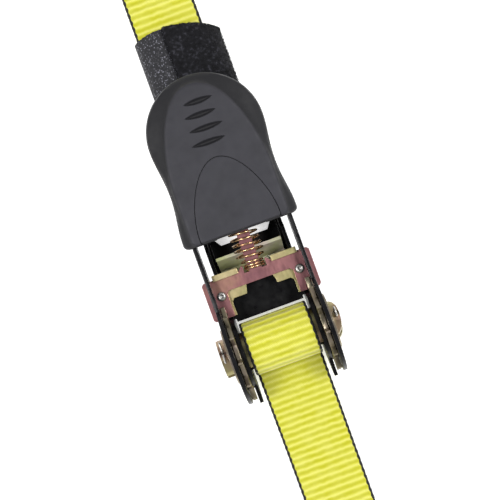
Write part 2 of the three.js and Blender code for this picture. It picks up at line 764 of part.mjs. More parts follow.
function hankTie() {
  const half = WEBBING.width / 2 + GAP;
  const top = FLOOR + 0.1 + HANK.plies * HANK.plyStep;
  const [near, far] = [TIE.y - TIE.width / 2, TIE.y + TIE.width / 2];
  return trimmed(
    block(-half - TIE.thick, half + TIE.thick, near, far, FLOOR + 0.1, top),
    block(-half, half, near - 1, far + 1, FLOOR + 0.1 + TIE.thick, top - TIE.thick),
  );
}

function longStrapTail() {
  return strapBand(hookLoop(LONG_HOOK_Y, -1, HANK.near - HANK.length - GAP, 23));
}

// The wrap's oval outline seen end-on (x, z), set in by a distance from its outside.
function wrapShape(setIn) {
  const half = WRAP.half - setIn;
  const bottom = FLOOR + 0.1 + setIn;
  const top = WRAP.top - setIn;
  const r = (top - bottom) / 2;
  const middle = (top + bottom) / 2;
  const shape = new THREE.Shape();
  shape.absarc(WRAP.x + half - r, middle, r, deg(-90), deg(90), false);
  shape.absarc(WRAP.x - half + r, middle, r, deg(90), deg(270), false);
  return shape;
}

// The hook-and-loop wrap: an inner hook tape wound on the strap, and a loop tape over its right.
function wrapHookTape() {
  const { near, far, seam, tape } = WRAP;
  const slotX = WEBBING.width / 2 + 0.4;
  const slotHalf = PLY_STEP / 2 + WEBBING.thick / 2 + GAP;
  const core = endPlate(wrapShape(tape + GAP), near, far);
  const left = endPlate(wrapShape(0.5), near, far).intersect(block(-40, seam, 0, 200, -40, 40));
  return trimmed(joined(core, left), block(-slotX, slotX, 0, 200, ANCHOR.z - slotHalf, ANCHOR.z + slotHalf));
}

function wrapLoopTape() {
  const { near, far, seam, tape } = WRAP;
  return trimmed(
    endPlate(wrapShape(0), near, far),
    endPlate(wrapShape(tape), near - 1, far + 1),
    block(-40, seam + GAP, 0, 200, -40, 40),
  );
}

// Wire hook: a bar in the strap's loop, two legs that close up, and a bend that stands up.
function wireHook(barY, way) {
  const { wire: radius, barZ, legX, closeX, bend } = HOOK;
  const low = -1.6;
  const bendFrom = 36;
  const side = (x) => [
    [x * (legX - 4), 0, 0],
    [x * (legX - 1), 0.9, 0],
    [x * legX, 4, 0],
    [x * legX, 8, -0.3],
    [x * (legX - 3.5), 14, -0.7],
    [x * (closeX + 3.2), 22, -1.3],
    [x * closeX, 27, low],
    [x * closeX, bendFrom - 2, low],
  ];
  const curve = (x) =>
    arcPoints(bendFrom, low + bend, bend, -80, 90, 8).map((point) => [x * closeX, point.x, point.y]);
  const tip = (x) => [[x * closeX, bendFrom - 5, low + 2 * bend + 0.6]];
  const right = [[0, 0, 0], [8, 0, 0], ...side(1), ...curve(1), ...tip(1)];
  const left = [[-8, 0, 0], ...side(-1), ...curve(-1), ...tip(-1)].reverse();
  const points = [...left, ...right].map(([x, u, z]) => [x, barY + way * u, barZ + z]);
  return wire(points, radius, 56, 4);
}

// ---- every piece, body by body ----
add("base_frame", baseFrame(), BLACK_STEEL);
add("strap_anchor_bolt", anchorBolt(), GOLD_ZINC);
add("strap_anchor_nut", anchorNut(), GOLD_ZINC);
add("lock_spring_bracket", lockSpringBracket(), GOLD_ZINC);
add("bracket_rivet_left", bracketRivet(-1), GREY_STEEL);
add("bracket_rivet_right", bracketRivet(1), GREY_STEEL);
add("lock_pawl_plate", lockPawl(), BLACK_STEEL);
add("lock_pawl_spring", lockSpring(), SPRING_STEEL);

add("handle_plate_left", mirroredX(handlePlate()), GREY_STEEL);
add("handle_plate_right", handlePlate(), GREY_STEEL);
add("handle_crossbar", crossbar(), GREY_STEEL);
add("handle_spacer", handleSpacer(), GREY_STEEL);
add("cover_top", coverTop(), GRIP);
add("cover_bottom", coverBottom(), GRIP);
add("cover_panel", coverPanel(), GRIP);
add("cover_screw_left", coverScrew(-1), GREY_STEEL);
add("cover_screw_right", coverScrew(1), GREY_STEEL);

add("drive_pawl_plate", drivePawlPlate(), PINK_ZINC);
add("drive_pawl_backing", drivePawlBacking(), GOLD_ZINC);
add("pawl_rivet_left", rivet(-PAWL_RIVET.x, PAWL_RIVET.y, -3.2, 1.7, 0.6, 0.6), GREY_STEEL);
add("pawl_rivet_right", rivet(PAWL_RIVET.x, PAWL_RIVET.y, -3.2, 1.7, 0.6, 0.6), GREY_STEEL);
add("release_pull_tab", pullTab(), PINK_ZINC);
add("pull_tab_rivet", rivet(0, PULL_TAB.rivetY, -3.2, 1.7, 0.6, 0.6), GREY_STEEL);
add("drive_pawl_spring", driveSpring(), SPRING_STEEL);

add("mandrel_front", mandrelHalf(1), GOLD_ZINC);
add("mandrel_rear", mandrelHalf(-1), GOLD_ZINC);
add("ratchet_gear_left", mirroredX(ratchetGear()), GOLD_ZINC);
add("ratchet_gear_right", ratchetGear(), GOLD_ZINC);
add("axle_washer_left", mirroredX(axleWasher()), GOLD_ZINC);
add("axle_washer_right", axleWasher(), GOLD_ZINC);
add("cotter_pin_left", cotterPin(-COTTER.x, true), GREY_STEEL);
add("cotter_pin_right", cotterPin(COTTER.x, false), GREY_STEEL);
add("wound_strap", woundStrap(), YELLOW_WEBBING);

add("short_strap", shortStrap(), YELLOW_WEBBING);
add("storage_wrap_hook_tape", wrapHookTape(), BLACK_TAPE);
add("storage_wrap_loop_tape", wrapLoopTape(), BLACK_TAPE);
add("long_strap_run", longStrapRun(), YELLOW_WEBBING);
add("long_strap_hank", longStrapHank(), YELLOW_WEBBING);
add("hank_tie", hankTie(), BLACK_TAPE);
add("long_strap_tail", longStrapTail(), YELLOW_WEBBING);
add("short_hook", wireHook(SHORT_HOOK_Y, 1), VINYL);
add("long_hook", wireHook(LONG_HOOK_Y, -1), VINYL);

export default object;
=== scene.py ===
import math

import bmesh
import bpy
import numpy as np
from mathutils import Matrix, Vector


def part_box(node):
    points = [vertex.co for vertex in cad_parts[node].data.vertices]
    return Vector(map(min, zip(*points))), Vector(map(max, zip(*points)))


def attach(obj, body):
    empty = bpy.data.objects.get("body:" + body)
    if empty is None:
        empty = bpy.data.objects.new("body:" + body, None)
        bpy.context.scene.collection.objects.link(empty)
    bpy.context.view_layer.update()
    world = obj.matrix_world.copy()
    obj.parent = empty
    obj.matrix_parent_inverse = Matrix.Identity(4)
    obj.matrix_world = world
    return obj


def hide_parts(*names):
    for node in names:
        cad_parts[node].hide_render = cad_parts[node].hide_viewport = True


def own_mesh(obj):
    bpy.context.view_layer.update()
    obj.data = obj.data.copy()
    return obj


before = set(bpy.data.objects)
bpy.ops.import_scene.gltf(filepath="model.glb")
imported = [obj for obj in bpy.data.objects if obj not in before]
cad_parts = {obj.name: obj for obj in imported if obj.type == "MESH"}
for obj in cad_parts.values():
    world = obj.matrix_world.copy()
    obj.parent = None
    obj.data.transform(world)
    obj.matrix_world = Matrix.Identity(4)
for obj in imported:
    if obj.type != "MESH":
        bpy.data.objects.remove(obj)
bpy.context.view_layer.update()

MM = 0.001
rng = np.random.default_rng(7)

# ---- places, in millimetres from the axle's centre, as the frame gives them ----
roll_low, roll_high = (np.array(corner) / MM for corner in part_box("wound_strap"))
AXLE = (roll_low + roll_high) / 2
FLOOR = -AXLE[2]


def extent(node):
    """Lowest and highest corners of a CAD node, in mm from the axle's centre."""
    return [np.array(corner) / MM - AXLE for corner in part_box(node)]


# ---- camera, light and floor ----
TILT = math.radians(20)  # the object leans this far to the left in the view
LIGHT_SIZE = 0.4
LIGHT_WATTS = 9.5
FLOOR_REACH = 15.0  # from the frame's origin to each edge of the floor, in metres


def place(x, y, z):
    """A point of the frame in metres, from mm about the axle's centre."""
    return Vector(((x + AXLE[0]) * MM, (y + AXLE[1]) * MM, (z + AXLE[2]) * MM))


def make_camera():
    data = bpy.data.cameras.new("camera")
    data.lens = 86.0
    data.sensor_width = 36.0
    data.clip_start = 0.01
    camera = bpy.data.objects.new("camera", data)
    camera.location = place(0.4, 33.8, 430.0)
    camera.rotation_euler = (0, 0, -TILT)
    bpy.context.scene.collection.objects.link(camera)
    bpy.context.scene.camera = camera


def area_light(name, location, target, size, watts):
    data = bpy.data.lights.new(name, "AREA")
    data.shape = "SQUARE"
    data.size = size
    data.energy = watts
    light = bpy.data.objects.new(name, data)
    light.location = location
    light.rotation_euler = (Vector(target) - Vector(location)).to_track_quat("-Z", "Y").to_euler()
    bpy.context.scene.collection.objects.link(light)


def make_studio():
    """A white room that darkens overhead, two soft lights, and a white floor."""
    world = bpy.data.worlds.new("studio")
    bpy.context.scene.world = world
    world.use_nodes = True
    nodes, links = world.node_tree.nodes, world.node_tree.links
    background = nodes["Background"]
    background.inputs["Strength"].default_value = 0.6
    coords = nodes.new("ShaderNodeTexCoord")
    split = nodes.new("ShaderNodeSeparateXYZ")
    ramp = nodes.new("ShaderNodeValToRGB")
    ramp.color_ramp.elements[0].position = 0.03
    ramp.color_ramp.elements[0].color = (1.66, 1.66, 1.66, 1)
    horizon = ramp.color_ramp.elements.new(0.1)
    horizon.color = (0.85, 0.85, 0.86, 1)
    ramp.color_ramp.elements[-1].position = 0.78
    ramp.color_ramp.elements[-1].color = (1.0, 1.0, 1.0, 1)
    zenith = ramp.color_ramp.elements.new(0.93)
    zenith.color = (0.12, 0.12, 0.13, 1)
    links.new(coords.outputs["Generated"], split.inputs["Vector"])
    links.new(split.outputs["Z"], ramp.inputs["Fac"])
    links.new(ramp.outputs["Color"], background.inputs["Color"])
    bpy.context.scene.view_settings.view_transform = "Standard"
    for name, side in (("right", 1), ("left", -1)):
        area_light(name, (side * 0.62, 0.02, 1.15), (0, 0, 0), LIGHT_SIZE, LIGHT_WATTS)

    mesh = bpy.data.meshes.new("floor")
    reach = FLOOR_REACH
    corners = [(-reach, -reach, 0), (reach, -reach, 0), (reach, reach, 0), (-reach, reach, 0)]
    mesh.from_pydata(corners, [], [(0, 1, 2, 3)])
    floor = bpy.data.objects.new("floor", mesh)
    bpy.context.scene.collection.objects.link(floor)
    look = bpy.data.materials.new("floor_white")
    look.use_nodes = True
    shader = look.node_tree.nodes["Principled BSDF"]
    shader.inputs["Base Color"].default_value = (0.9, 0.9, 0.9, 1)
    shader.inputs["Roughness"].default_value = 0.7
    shader.inputs["Emission Color"].default_value = (1, 1, 1, 1)
    shader.inputs["Emission Strength"].default_value = 0.55
    mesh.materials.append(look)


# ---- materials ----
CROWN = extent("cover_top")[1][2]  # top of the grip's raised middle


class Look:
    """A Principled material with helpers that add one texture step each."""

    def __init__(self, name, roughness=0.5, metallic=0.0, **sockets):
        self.material = bpy.data.materials.new(name)
        self.material.use_nodes = True
        self.nodes = self.material.node_tree.nodes
        self.links = self.material.node_tree.links
        self.shader = self.nodes["Principled BSDF"]
        self.shader.inputs["Roughness"].default_value = roughness
        self.shader.inputs["Metallic"].default_value = metallic
        for socket, value in sockets.items():
            self.shader.inputs[socket.replace("_", " ")].default_value = value
        self.coords = self.nodes.new("ShaderNodeTexCoord")
        self.heights = []

    def point(self, stretch=(1, 1, 1), kind="Object"):
        mapping = self.nodes.new("ShaderNodeMapping")
        mapping.inputs["Scale"].default_value = stretch
        self.links.new(self.coords.outputs[kind], mapping.inputs["Vector"])
        return mapping.outputs["Vector"]

    def noise(self, scale, detail=4.0, stretch=(1, 1, 1), kind="Object"):
        node = self.nodes.new("ShaderNodeTexNoise")
        node.inputs["Scale"].default_value = scale
        node.inputs["Detail"].default_value = detail
        self.links.new(self.point(stretch, kind), node.inputs["Vector"])
        return node.outputs["Fac"]

    def cells(self, scale, stretch=(1, 1, 1)):
        node = self.nodes.new("ShaderNodeTexVoronoi")
        node.inputs["Scale"].default_value = scale
        self.links.new(self.point(stretch), node.inputs["Vector"])
        return node.outputs["Distance"]

    def ramp(self, factor, stops):
        node = self.nodes.new("ShaderNodeValToRGB")
        while len(node.color_ramp.elements) < len(stops):
            node.color_ramp.elements.new(0.5)
        for element, (position, colour) in zip(node.color_ramp.elements, stops):
            element.position = position
            element.color = (*colour, 1)
        self.links.new(factor, node.inputs["Fac"])
        return node.outputs["Color"]

    def span(self, factor, low, high, from_low=0.0, from_high=1.0):
        node = self.nodes.new("ShaderNodeMapRange")
        node.inputs["From Min"].default_value = from_low
        node.inputs["From Max"].default_value = from_high
        node.inputs["To Min"].default_value = low
        node.inputs["To Max"].default_value = high
        self.links.new(factor, node.inputs["Value"])
        return node.outputs["Result"]

    def math(self, operation, a, b=None):
        node = self.nodes.new("ShaderNodeMath")
        node.operation = operation
        for socket, value in zip(node.inputs, (a, b)):
            if isinstance(value, (int, float)):
                socket.default_value = value
            elif value is not None:
                self.links.new(value, socket)
        return node.outputs["Value"]

    def mix(self, factor, first, second):
        node = self.nodes.new("ShaderNodeMix")
        node.data_type = "RGBA"
        self.links.new(factor, node.inputs["Factor"])
        for socket, value in ((node.inputs[6], first), (node.inputs[7], second)):
            if isinstance(value, tuple):
                socket.default_value = (*value, 1)
            else:
                self.links.new(value, socket)
        return node.outputs[2]

    def colour(self, output):
        self.links.new(output, self.shader.inputs["Base Color"])

    def roughness(self, output):
        self.links.new(output, self.shader.inputs["Roughness"])

    def bump(self, height, depth_mm, strength=1.0):
        """Adds a relief of that depth; several calls stack."""
        node = self.nodes.new("ShaderNodeBump")
        node.inputs["Strength"].default_value = strength
        node.inputs["Distance"].default_value = depth_mm * MM
        self.links.new(height, node.inputs["Height"])
        if self.heights:
            self.links.new(self.heights[-1], node.inputs["Normal"])
        self.heights.append(node.outputs["Normal"])
        self.links.new(self.heights[-1], self.shader.inputs["Normal"])


def zinc(name, stops, low=0.3, high=0.38, metal=0.88):
    """Chromate-plated steel: cloudy drifting tints, fine scratches and a dulled patchy gloss."""
    look = Look(name, metallic=metal)
    drift = look.noise(70, 3.0)
    fine = look.noise(900, 5.0)
    tone = look.math("ADD", look.math("MULTIPLY", drift, 0.86), look.math("MULTIPLY", fine, 0.14))
    look.colour(look.ramp(tone, stops))
    scratches = look.noise(420, 6.0, stretch=(3, 1, 2))
    look.roughness(look.span(scratches, low, high, 0.3, 0.7))
    look.bump(fine, 0.008)
    return look.material


def coated_steel(name, colour, gloss, gleam):
    """Dark coated pressed steel, slightly uneven, with rubbed paler places."""
    look = Look(name, Specular_IOR_Level=gleam)
    rubbed = look.noise(160, 6.0)
    pale = tuple(min(channel * 2.6 + 0.01, 1) for channel in colour)
    look.colour(look.ramp(rubbed, [(0.35, colour), (0.62, colour), (0.8, pale)]))
    look.roughness(look.span(look.noise(420, 5.0), gloss, gloss + 0.16, 0.3, 0.7))
    look.bump(look.noise(1500, 3.0), 0.012)
    return look.material


def bright_wire(name, stops):
    look = Look(name, metallic=1.0)
    look.colour(look.ramp(look.noise(240, 2.0), stops))
    look.roughness(look.span(look.noise(1800, 4.0), 0.16, 0.3, 0.3, 0.7))
    return look.material


def grip_plastic(name, base):
    """Moulded grip: fine pitted texture, faint mottling, uneven gloss, and painted shade that darkens it
    below its crown.
    """
    look = Look(name, Specular_IOR_Level=0.32, Sheen_Weight=0.04, Sheen_Roughness=0.5)
    mottle = look.noise(120, 4.0)
    dark = tuple(channel * 0.86 for channel in base)
    light = tuple(channel * 1.12 for channel in base)
    crown = look.ramp(mottle, [(0.3, dark), (0.5, base), (0.75, light)])
    # painted shade: below the crown the colour falls to 0.3 of the base, for the rim and sides lying in shade
    rim = tuple(channel * 0.3 for channel in base)
    split = look.nodes.new("ShaderNodeSeparateXYZ")
    look.links.new(look.coords.outputs["Object"], split.inputs["Vector"])
    top = (CROWN + AXLE[2]) * MM
    # mask of the painted shade: 0 below the crown's edge, 1 on the crown
    rise = look.span(split.outputs["Z"], 0.0, 1.0, top - 0.6 * MM, top - 0.1 * MM)
    look.colour(look.mix(rise, rim, crown))
    look.roughness(look.span(look.noise(300, 4.0), 0.5, 0.66, 0.3, 0.7))
    look.bump(look.noise(3800, 2.0), 0.03, 0.6)
    look.bump(look.cells(2600), 0.012, 0.5)
    return look.material


RIB = 2.6  # pitch of the webbing's cross ribs, mm
WARP = 0.62  # pitch of its yarns across, mm
PICK = 0.87  # and along, mm
WEB_HALF = 12.7


def webbing_material():
    """Yellow woven webbing: cross ribs with painted shade in their valleys and painted light on their ridges,
    fine warp yarns, and a black thread along each edge.
    """
    sheen = {"Sheen_Weight": 0.25, "Sheen_Roughness": 0.4}
    look = Look("yellow_webbing", roughness=0.62, Specular_IOR_Level=0.3, **sheen)
    split = look.nodes.new("ShaderNodeSeparateXYZ")
    look.links.new(look.coords.outputs["UV"], split.inputs["Vector"])
    across, along = split.outputs["X"], split.outputs["Y"]

    wander = look.math("MULTIPLY", look.noise(0.35, 2.0, (1, 1, 1), "UV"), 0.9)
    phase = look.math("MULTIPLY", look.math("ADD", along, wander), 2 * math.pi / RIB)
    rib = look.math("ADD", look.math("MULTIPLY", look.math("COSINE", phase), 0.5), 0.5)
    rib = look.math("POWER", rib, 1.2)
    warp = look.math("SINE", look.math("MULTIPLY", across, 2 * math.pi / WARP))
    pick = look.math("SINE", look.math("MULTIPLY", along, 2 * math.pi / PICK))
    weave = look.math("ADD", look.math("MULTIPLY", look.math("MULTIPLY", warp, pick), 0.5), 0.5)

    # painted shade and light on the ribs: valleys darkened and ridges paled in colour, besides the rib bump
    rib_shade_and_light_yellows = [(0.0, (0.52, 0.51, 0.012)), (0.4, (0.65, 0.64, 0.035)), (1.0, (0.82, 0.80, 0.17))]
    body = look.ramp(rib, rib_shade_and_light_yellows)
    cloud = look.noise(0.16, 3.0, (1, 1, 1), "UV")
    body = look.mix(look.span(cloud, 0.0, 0.35, 0.35, 0.75), body, (0.84, 0.82, 0.22))
    body = look.mix(look.span(weave, 0.0, 0.42), body, (0.38, 0.37, 0.008))

    wave = look.math("MULTIPLY", look.math("COSINE", phase), 0.16)
    reach = look.math("ADD", look.math("ABSOLUTE", across), wave)
    thread = look.span(reach, 0.0, 1.0, WEB_HALF - 1.0, WEB_HALF - 0.85)
    look.colour(look.mix(thread, body, (0.012, 0.012, 0.012)))
    look.bump(rib, 0.22, 1.0)
    look.bump(weave, 0.12, 0.9)
    return look.material


def hook_tape_material():
    """Woven hook tape: rows of fine hooks, each with a painted highlight as a small pale point."""
    look = Look("hook_tape", roughness=0.55, Sheen_Weight=0.1)
    hooks = look.cells(1500, (1, 0.8, 1))
    # painted highlight: pale bluish grey at each hook's centre, falling to near black between hooks
    painted_glint_greys = [(0.10, (0.26, 0.26, 0.32)), (0.24, (0.03, 0.03, 0.038)), (0.5, (0.006, 0.006, 0.009))]
    look.colour(look.ramp(hooks, painted_glint_greys))
    look.roughness(look.span(hooks, 0.25, 0.75, 0.0, 0.5))
    look.bump(hooks, -0.25, 0.9)
    return look.material


def loop_tape_material():
    """Brushed loop pile: nearly black, soft and cloudy."""
    look = Look("loop_tape", roughness=0.95, Specular_IOR_Level=0.12, Sheen_Weight=0.1, Sheen_Roughness=0.6)
    blacks = [(0.3, (0.002, 0.002, 0.003)), (0.55, (0.008, 0.008, 0.010)), (0.72, (0.04, 0.04, 0.05))]
    look.colour(look.ramp(look.noise(700, 6.0), blacks))
    look.bump(look.noise(1400, 5.0), 0.35, 0.9)
    return look.material


def vinyl_material():
    look = Look("black_vinyl", roughness=0.3, Coat_Weight=0.15)
    look.colour(look.ramp(look.noise(200, 3.0), [(0.3, (0.010, 0.010, 0.011)), (0.8, (0.022, 0.022, 0.024))]))
    look.roughness(look.span(look.noise(500, 4.0), 0.26, 0.42, 0.3, 0.7))
    look.bump(look.noise(350, 3.0), 0.08)
    return look.material


PINK = zinc(
    "pink_zinc",
    [(0.3, (0.26, 0.115, 0.13)), (0.5, (0.36, 0.165, 0.165)), (0.66, (0.42, 0.24, 0.17))],
)
GOLD = zinc(
    "gold_zinc",
    [
        (0.3, (0.36, 0.35, 0.15)),
        (0.48, (0.52, 0.44, 0.22)),
        (0.6, (0.60, 0.50, 0.28)),
        (0.72, (0.50, 0.27, 0.25)),
    ],
)
# The gold zinc at about four fifths of its brightness: painted shade and a dimmed reflection on the mandrel
# ends.
OLIVE_ZINC_PAINTED_SHADE = zinc(
    "olive_zinc_painted_shade",
    [(0.3, (0.30, 0.30, 0.13)), (0.5, (0.40, 0.35, 0.18)), (0.7, (0.40, 0.23, 0.20))],
)
# The bracket's gold zinc again, nearly white and hardly metallic: painted light and reflection that brighten
# it where it lies in shade.
GOLD_ZINC_PAINTED_LIGHT = zinc(
    "gold_zinc_painted_light",
    [(0.3, (0.84, 0.90, 0.42)), (0.5, (0.90, 0.86, 0.66)), (0.68, (0.88, 0.66, 0.70))],
    metal=0.1,
)
# The gold zinc at about three fifths of its brightness and browner: painted shade on the gears and washers
# deep between the plates.
BRONZE_ZINC_PAINTED_SHADE = zinc(
    "bronze_zinc_painted_shade",
    [(0.3, (0.20, 0.18, 0.13)), (0.5, (0.32, 0.28, 0.19)), (0.7, (0.40, 0.31, 0.27))],
)
BLACK = coated_steel("black_steel", (0.003, 0.003, 0.0035), 0.24, 0.16)
DARK = coated_steel("dark_steel", (0.005, 0.005, 0.006), 0.2, 0.22)
STEEL = zinc(
    "plain_zinc",
    [(0.3, (0.34, 0.33, 0.31)), (0.55, (0.46, 0.45, 0.43)), (0.75, (0.56, 0.54, 0.50))],
)
WIRE = bright_wire(
    "spring_wire",
    [(0.3, (0.60, 0.34, 0.18)), (0.55, (0.72, 0.48, 0.26)), (0.75, (0.78, 0.62, 0.36))],
)
GRIP = grip_plastic("grip", (0.026, 0.0255, 0.032))
WEBBING = webbing_material()
HOOK_TAPE = hook_tape_material()
LOOP_TAPE = loop_tape_material()
VINYL = vinyl_material()


# ---- building pieces ----
def finish_piece(piece, body, material, nodes=()):
    piece.data.materials.clear()
    piece.data.materials.append(material)
    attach(piece, body)
    if nodes:
        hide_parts(*nodes)


def mesh_piece(name, points, faces, uvs=None, smooth=40):
    """A mesh object from points in mm from the axle's centre."""
    mesh = bpy.data.meshes.new(name)
    mesh.from_pydata(((np.asarray(points) + AXLE) * MM).tolist(), [], [list(face) for face in faces])
    mesh.validate()
    if uvs is not None:
        layer = mesh.uv_layers.new(name="UVMap")
        corner = np.empty(len(mesh.loops), dtype=np.int32)
        mesh.loops.foreach_get("vertex_index", corner)
        layer.data.foreach_set("uv", np.asarray(uvs, dtype=np.float32)[corner].ravel())
    mesh.polygons.foreach_set("use_smooth", [True] * len(mesh.polygons))
    mesh.set_sharp_from_angle(angle=math.radians(smooth))
    piece = bpy.data.objects.new(name, mesh)
    bpy.context.scene.collection.objects.link(piece)
    return piece


def apply_modifiers(piece):
    graph = bpy.context.evaluated_depsgraph_get()
    done = bpy.data.meshes.new_from_object(piece.evaluated_get(graph))
    piece.modifiers.clear()
    piece.data = done


def refined(node, body, slot, material, bevel):
    """The CAD piece with its edges rounded as pressed or turned metal has them."""
    shape = bmesh.new()
    shape.from_mesh(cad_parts[node].data)
    bmesh.ops.remove_doubles(shape, verts=shape.verts, dist=2e-6)
    bmesh.ops.dissolve_limit(shape, angle_limit=math.radians(1.0), verts=shape.verts, edges=shape.edges)
    mesh = bpy.data.meshes.new(node + "_finished")
    shape.to_mesh(mesh)
    shape.free()
    mesh.polygons.foreach_set("use_smooth", [True] * len(mesh.polygons))
    mesh.set_sharp_from_angle(angle=math.radians(35))
    piece = bpy.data.objects.new(node + "_finished", mesh)
    bpy.context.scene.collection.objects.link(piece)
    edges = piece.modifiers.new("edges", "BEVEL")
    edges.width = bevel * MM
    edges.segments = 2
    edges.limit_method = "ANGLE"
    edges.angle_limit = math.radians(35)
    edges.harden_normals = True
    apply_modifiers(piece)
    finish_piece(piece, body, material, [node])


def ring_faces(rings, sides, closed=False):
    """Quads between successive rings of the same number of points."""
    faces = []
    for i in range(rings if closed else rings - 1):
        a, b = i * sides, ((i + 1) % rings) * sides
        for j in range(sides):
            k = (j + 1) % sides
            faces.append((a + j, a + k, b + k, b + j))
    return faces


def resample(path, step):
    path = np.asarray(path, float)
    length = np.concatenate([[0], np.cumsum(np.linalg.norm(np.diff(path, axis=0), axis=1))])
    count = max(int(round(length[-1] / step)), 2)
    where = np.linspace(0, length[-1], count + 1)
    return np.stack([np.interp(where, length, path[:, k]) for k in range(path.shape[1])], axis=1), where


def curve_through(points, per_span=12):
    """A smooth curve through given points."""
    points = np.asarray(points, float)
    padded = np.vstack([2 * points[0] - points[1], points, 2 * points[-1] - points[-2]])
    t = np.linspace(0, 1, per_span, endpoint=False)[:, None]
    spans = []
    for p, q, r, s in zip(padded, padded[1:], padded[2:], padded[3:]):
        bend = (2 * p - 5 * q + 4 * r - s) * t**2 + (3 * q - p - 3 * r + s) * t**3
        spans.append(0.5 * (2 * q + (r - p) * t + bend))
    return np.vstack([*spans, points[-1:]])


def arc(y, z, radius, start, end, count=16):
    angles = np.radians(np.linspace(start, end, count))
    return np.stack([y + radius * np.cos(angles), z + radius * np.sin(angles)], axis=1)


def swept(name, path, radius, sides=12, smooth=60):
    """A round wire along a path of 3-D points, with rounded ends."""
    path = np.asarray(path, float)
    tangents = np.gradient(path, axis=0)
    tangents /= np.linalg.norm(tangents, axis=1)[:, None]
    normal = np.cross(tangents[0], [0.3, 0.5, 0.81])
    normal /= np.linalg.norm(normal)
    angles = np.linspace(0, 2 * math.pi, sides, endpoint=False)
    rings = []
    for centre, along in zip(path, tangents):
        normal = normal - along * (normal @ along)
        normal /= np.linalg.norm(normal)
        side = np.cross(along, normal)
        rings.append((centre, along, normal, side))
    caps_in = [(-1.0, 0.02), (-0.92, 0.39), (-0.71, 0.71), (-0.38, 0.92)]
    layers = [(rings[0], offset, scale) for offset, scale in caps_in]
    layers += [(ring, 0, 1) for ring in rings]
    layers += [(rings[-1], -offset, scale) for offset, scale in reversed(caps_in)]
    points = []
    for (centre, along, normal, side), offset, scale in layers:
        middle = centre + along * offset * radius
        circle = np.outer(np.cos(angles), normal) + np.outer(np.sin(angles), side)
        points.append(middle + radius * scale * circle)
    count = len(layers)
    faces = ring_faces(count, sides)
    faces.append(tuple(reversed(range(sides))))
    faces.append(tuple(range((count - 1) * sides, count * sides)))
    return mesh_piece(name, np.vstack(points), faces, smooth=smooth)


# ---- webbing ----
GAP = 0.3  # clearance between neighbouring pieces
PLY = 1.15  # thickness of one ply
PLY_HALF = 0.65  # half the thickness that the CAD gives a ply
PLY_STEP = 1.6
LYING = FLOOR + 0.75  # middle of a ply that lies on the floor
ROLL_RADIUS = (roll_high[2] - roll_low[2]) / 2

bolt_low, bolt_high = extent("strap_anchor_bolt")
ANCHOR = ((bolt_low + bolt_high) / 2)[1:]
ANCHOR_BOLT = 3.0
HANK_LOW, HANK_HIGH = extent("long_strap_hank")
TIE_LOW, TIE_HIGH = extent("hank_tie")
TIE_Y = (TIE_LOW[1] + TIE_HIGH[1]) / 2

HOOK_WIRE = 2.5  # radius of the coated wire
HOOK_BAR_Z = FLOOR + 4.4
HOOK_LOOP = HOOK_WIRE + GAP + PLY_HALF
SHORT_HOOK_Y = extent("short_hook")[0][1] + HOOK_WIRE
LONG_HOOK_Y = extent("long_hook")[1][1] - HOOK_WIRE


def ribbon(node, route, body, step=0.42, columns=15):
    """Webbing along a side route (y, z): ribbed faces, rounded wavy edges, UVs in mm for the weave."""
    path, along = resample(route, step)
    tangents = np.gradient(path, axis=0)
    tangents /= np.linalg.norm(tangents, axis=1)[:, None]
    normals = np.stack([-tangents[:, 1], tangents[:, 0]], axis=1)
    lanes = WEB_HALF * np.sin(np.linspace(-math.pi / 2, math.pi / 2, columns))
    across = np.concatenate([lanes, lanes[::-1]])
    upper = np.concatenate([np.ones(columns), -np.ones(columns)])
    edge = np.clip((np.abs(across) - (WEB_HALF - 0.5)) / 0.5, 0, 1)
    fullness = np.sqrt(np.clip(1 - edge**2, 0.06, 1))
    points, uvs = [], []
    for (y, z), (ny, nz), s in zip(path, normals, along):
        rib = math.cos(2 * math.pi * s / RIB)
        lift = upper * fullness * (PLY / 2 - 0.05 + 0.05 * rib)
        x = across * (1 - 0.006 + 0.006 * rib)
        points.append(np.stack([x, y + ny * lift, z + nz * lift], axis=1))
        uvs.append(np.stack([across, np.full(len(across), s)], axis=1))
    count, sides = len(path), 2 * columns
    faces = ring_faces(count, sides)
    faces.append(tuple(reversed(range(sides))))
    faces.append(tuple(range((count - 1) * sides, count * sides)))
    piece = mesh_piece(node + "_webbing", np.vstack(points), faces, np.vstack(uvs), smooth=50)
    finish_piece(piece, body, WEBBING, [node])


def hook_loop(bar_y, way, start, back):
    """Over a hook's bar, round it and back underneath."""
    top = LYING + PLY_STEP
    over = curve_through(
        [
            (start, top),
            (bar_y - way * 14, top),
            (bar_y - way * 8, HOOK_BAR_Z + 0.4),
            (bar_y - way * 3, HOOK_BAR_Z + HOOK_LOOP - 0.4),
        ]
    )
    turn = arc(0, HOOK_BAR_Z, HOOK_LOOP, 80, -90)
    turn[:, 0] = bar_y + way * turn[:, 0]
    return np.vstack([over, turn, [(bar_y - way * 12, LYING), (bar_y - way * back, LYING)]])


def short_strap():
    """Two plies from a loop round the anchor bolt, through the wrap, to a loop round the hook's bar."""
    y, z = ANCHOR
    loop = ANCHOR_BOLT + GAP + PLY_HALF
    half = 0.6 + 0.02
    sag = [(124, z), (132, z - 0.7), (140, z - 2.6), (148, LYING + half + 0.5)]
    low = curve_through([*reversed(sag), (84, z), (78, z - 0.6), (73, z - loop + half + 0.3)])
    high = curve_through([(73, z + loop - half - 0.3), (78, z + 0.6), (84, z), *sag])
    low[:, 1] -= half
    high[:, 1] += half
    route = np.vstack([low, arc(y, z, loop, -80, -280), high, hook_loop(SHORT_HOOK_Y, 1, 155, 27)])
    ribbon("short_strap", route, "base")


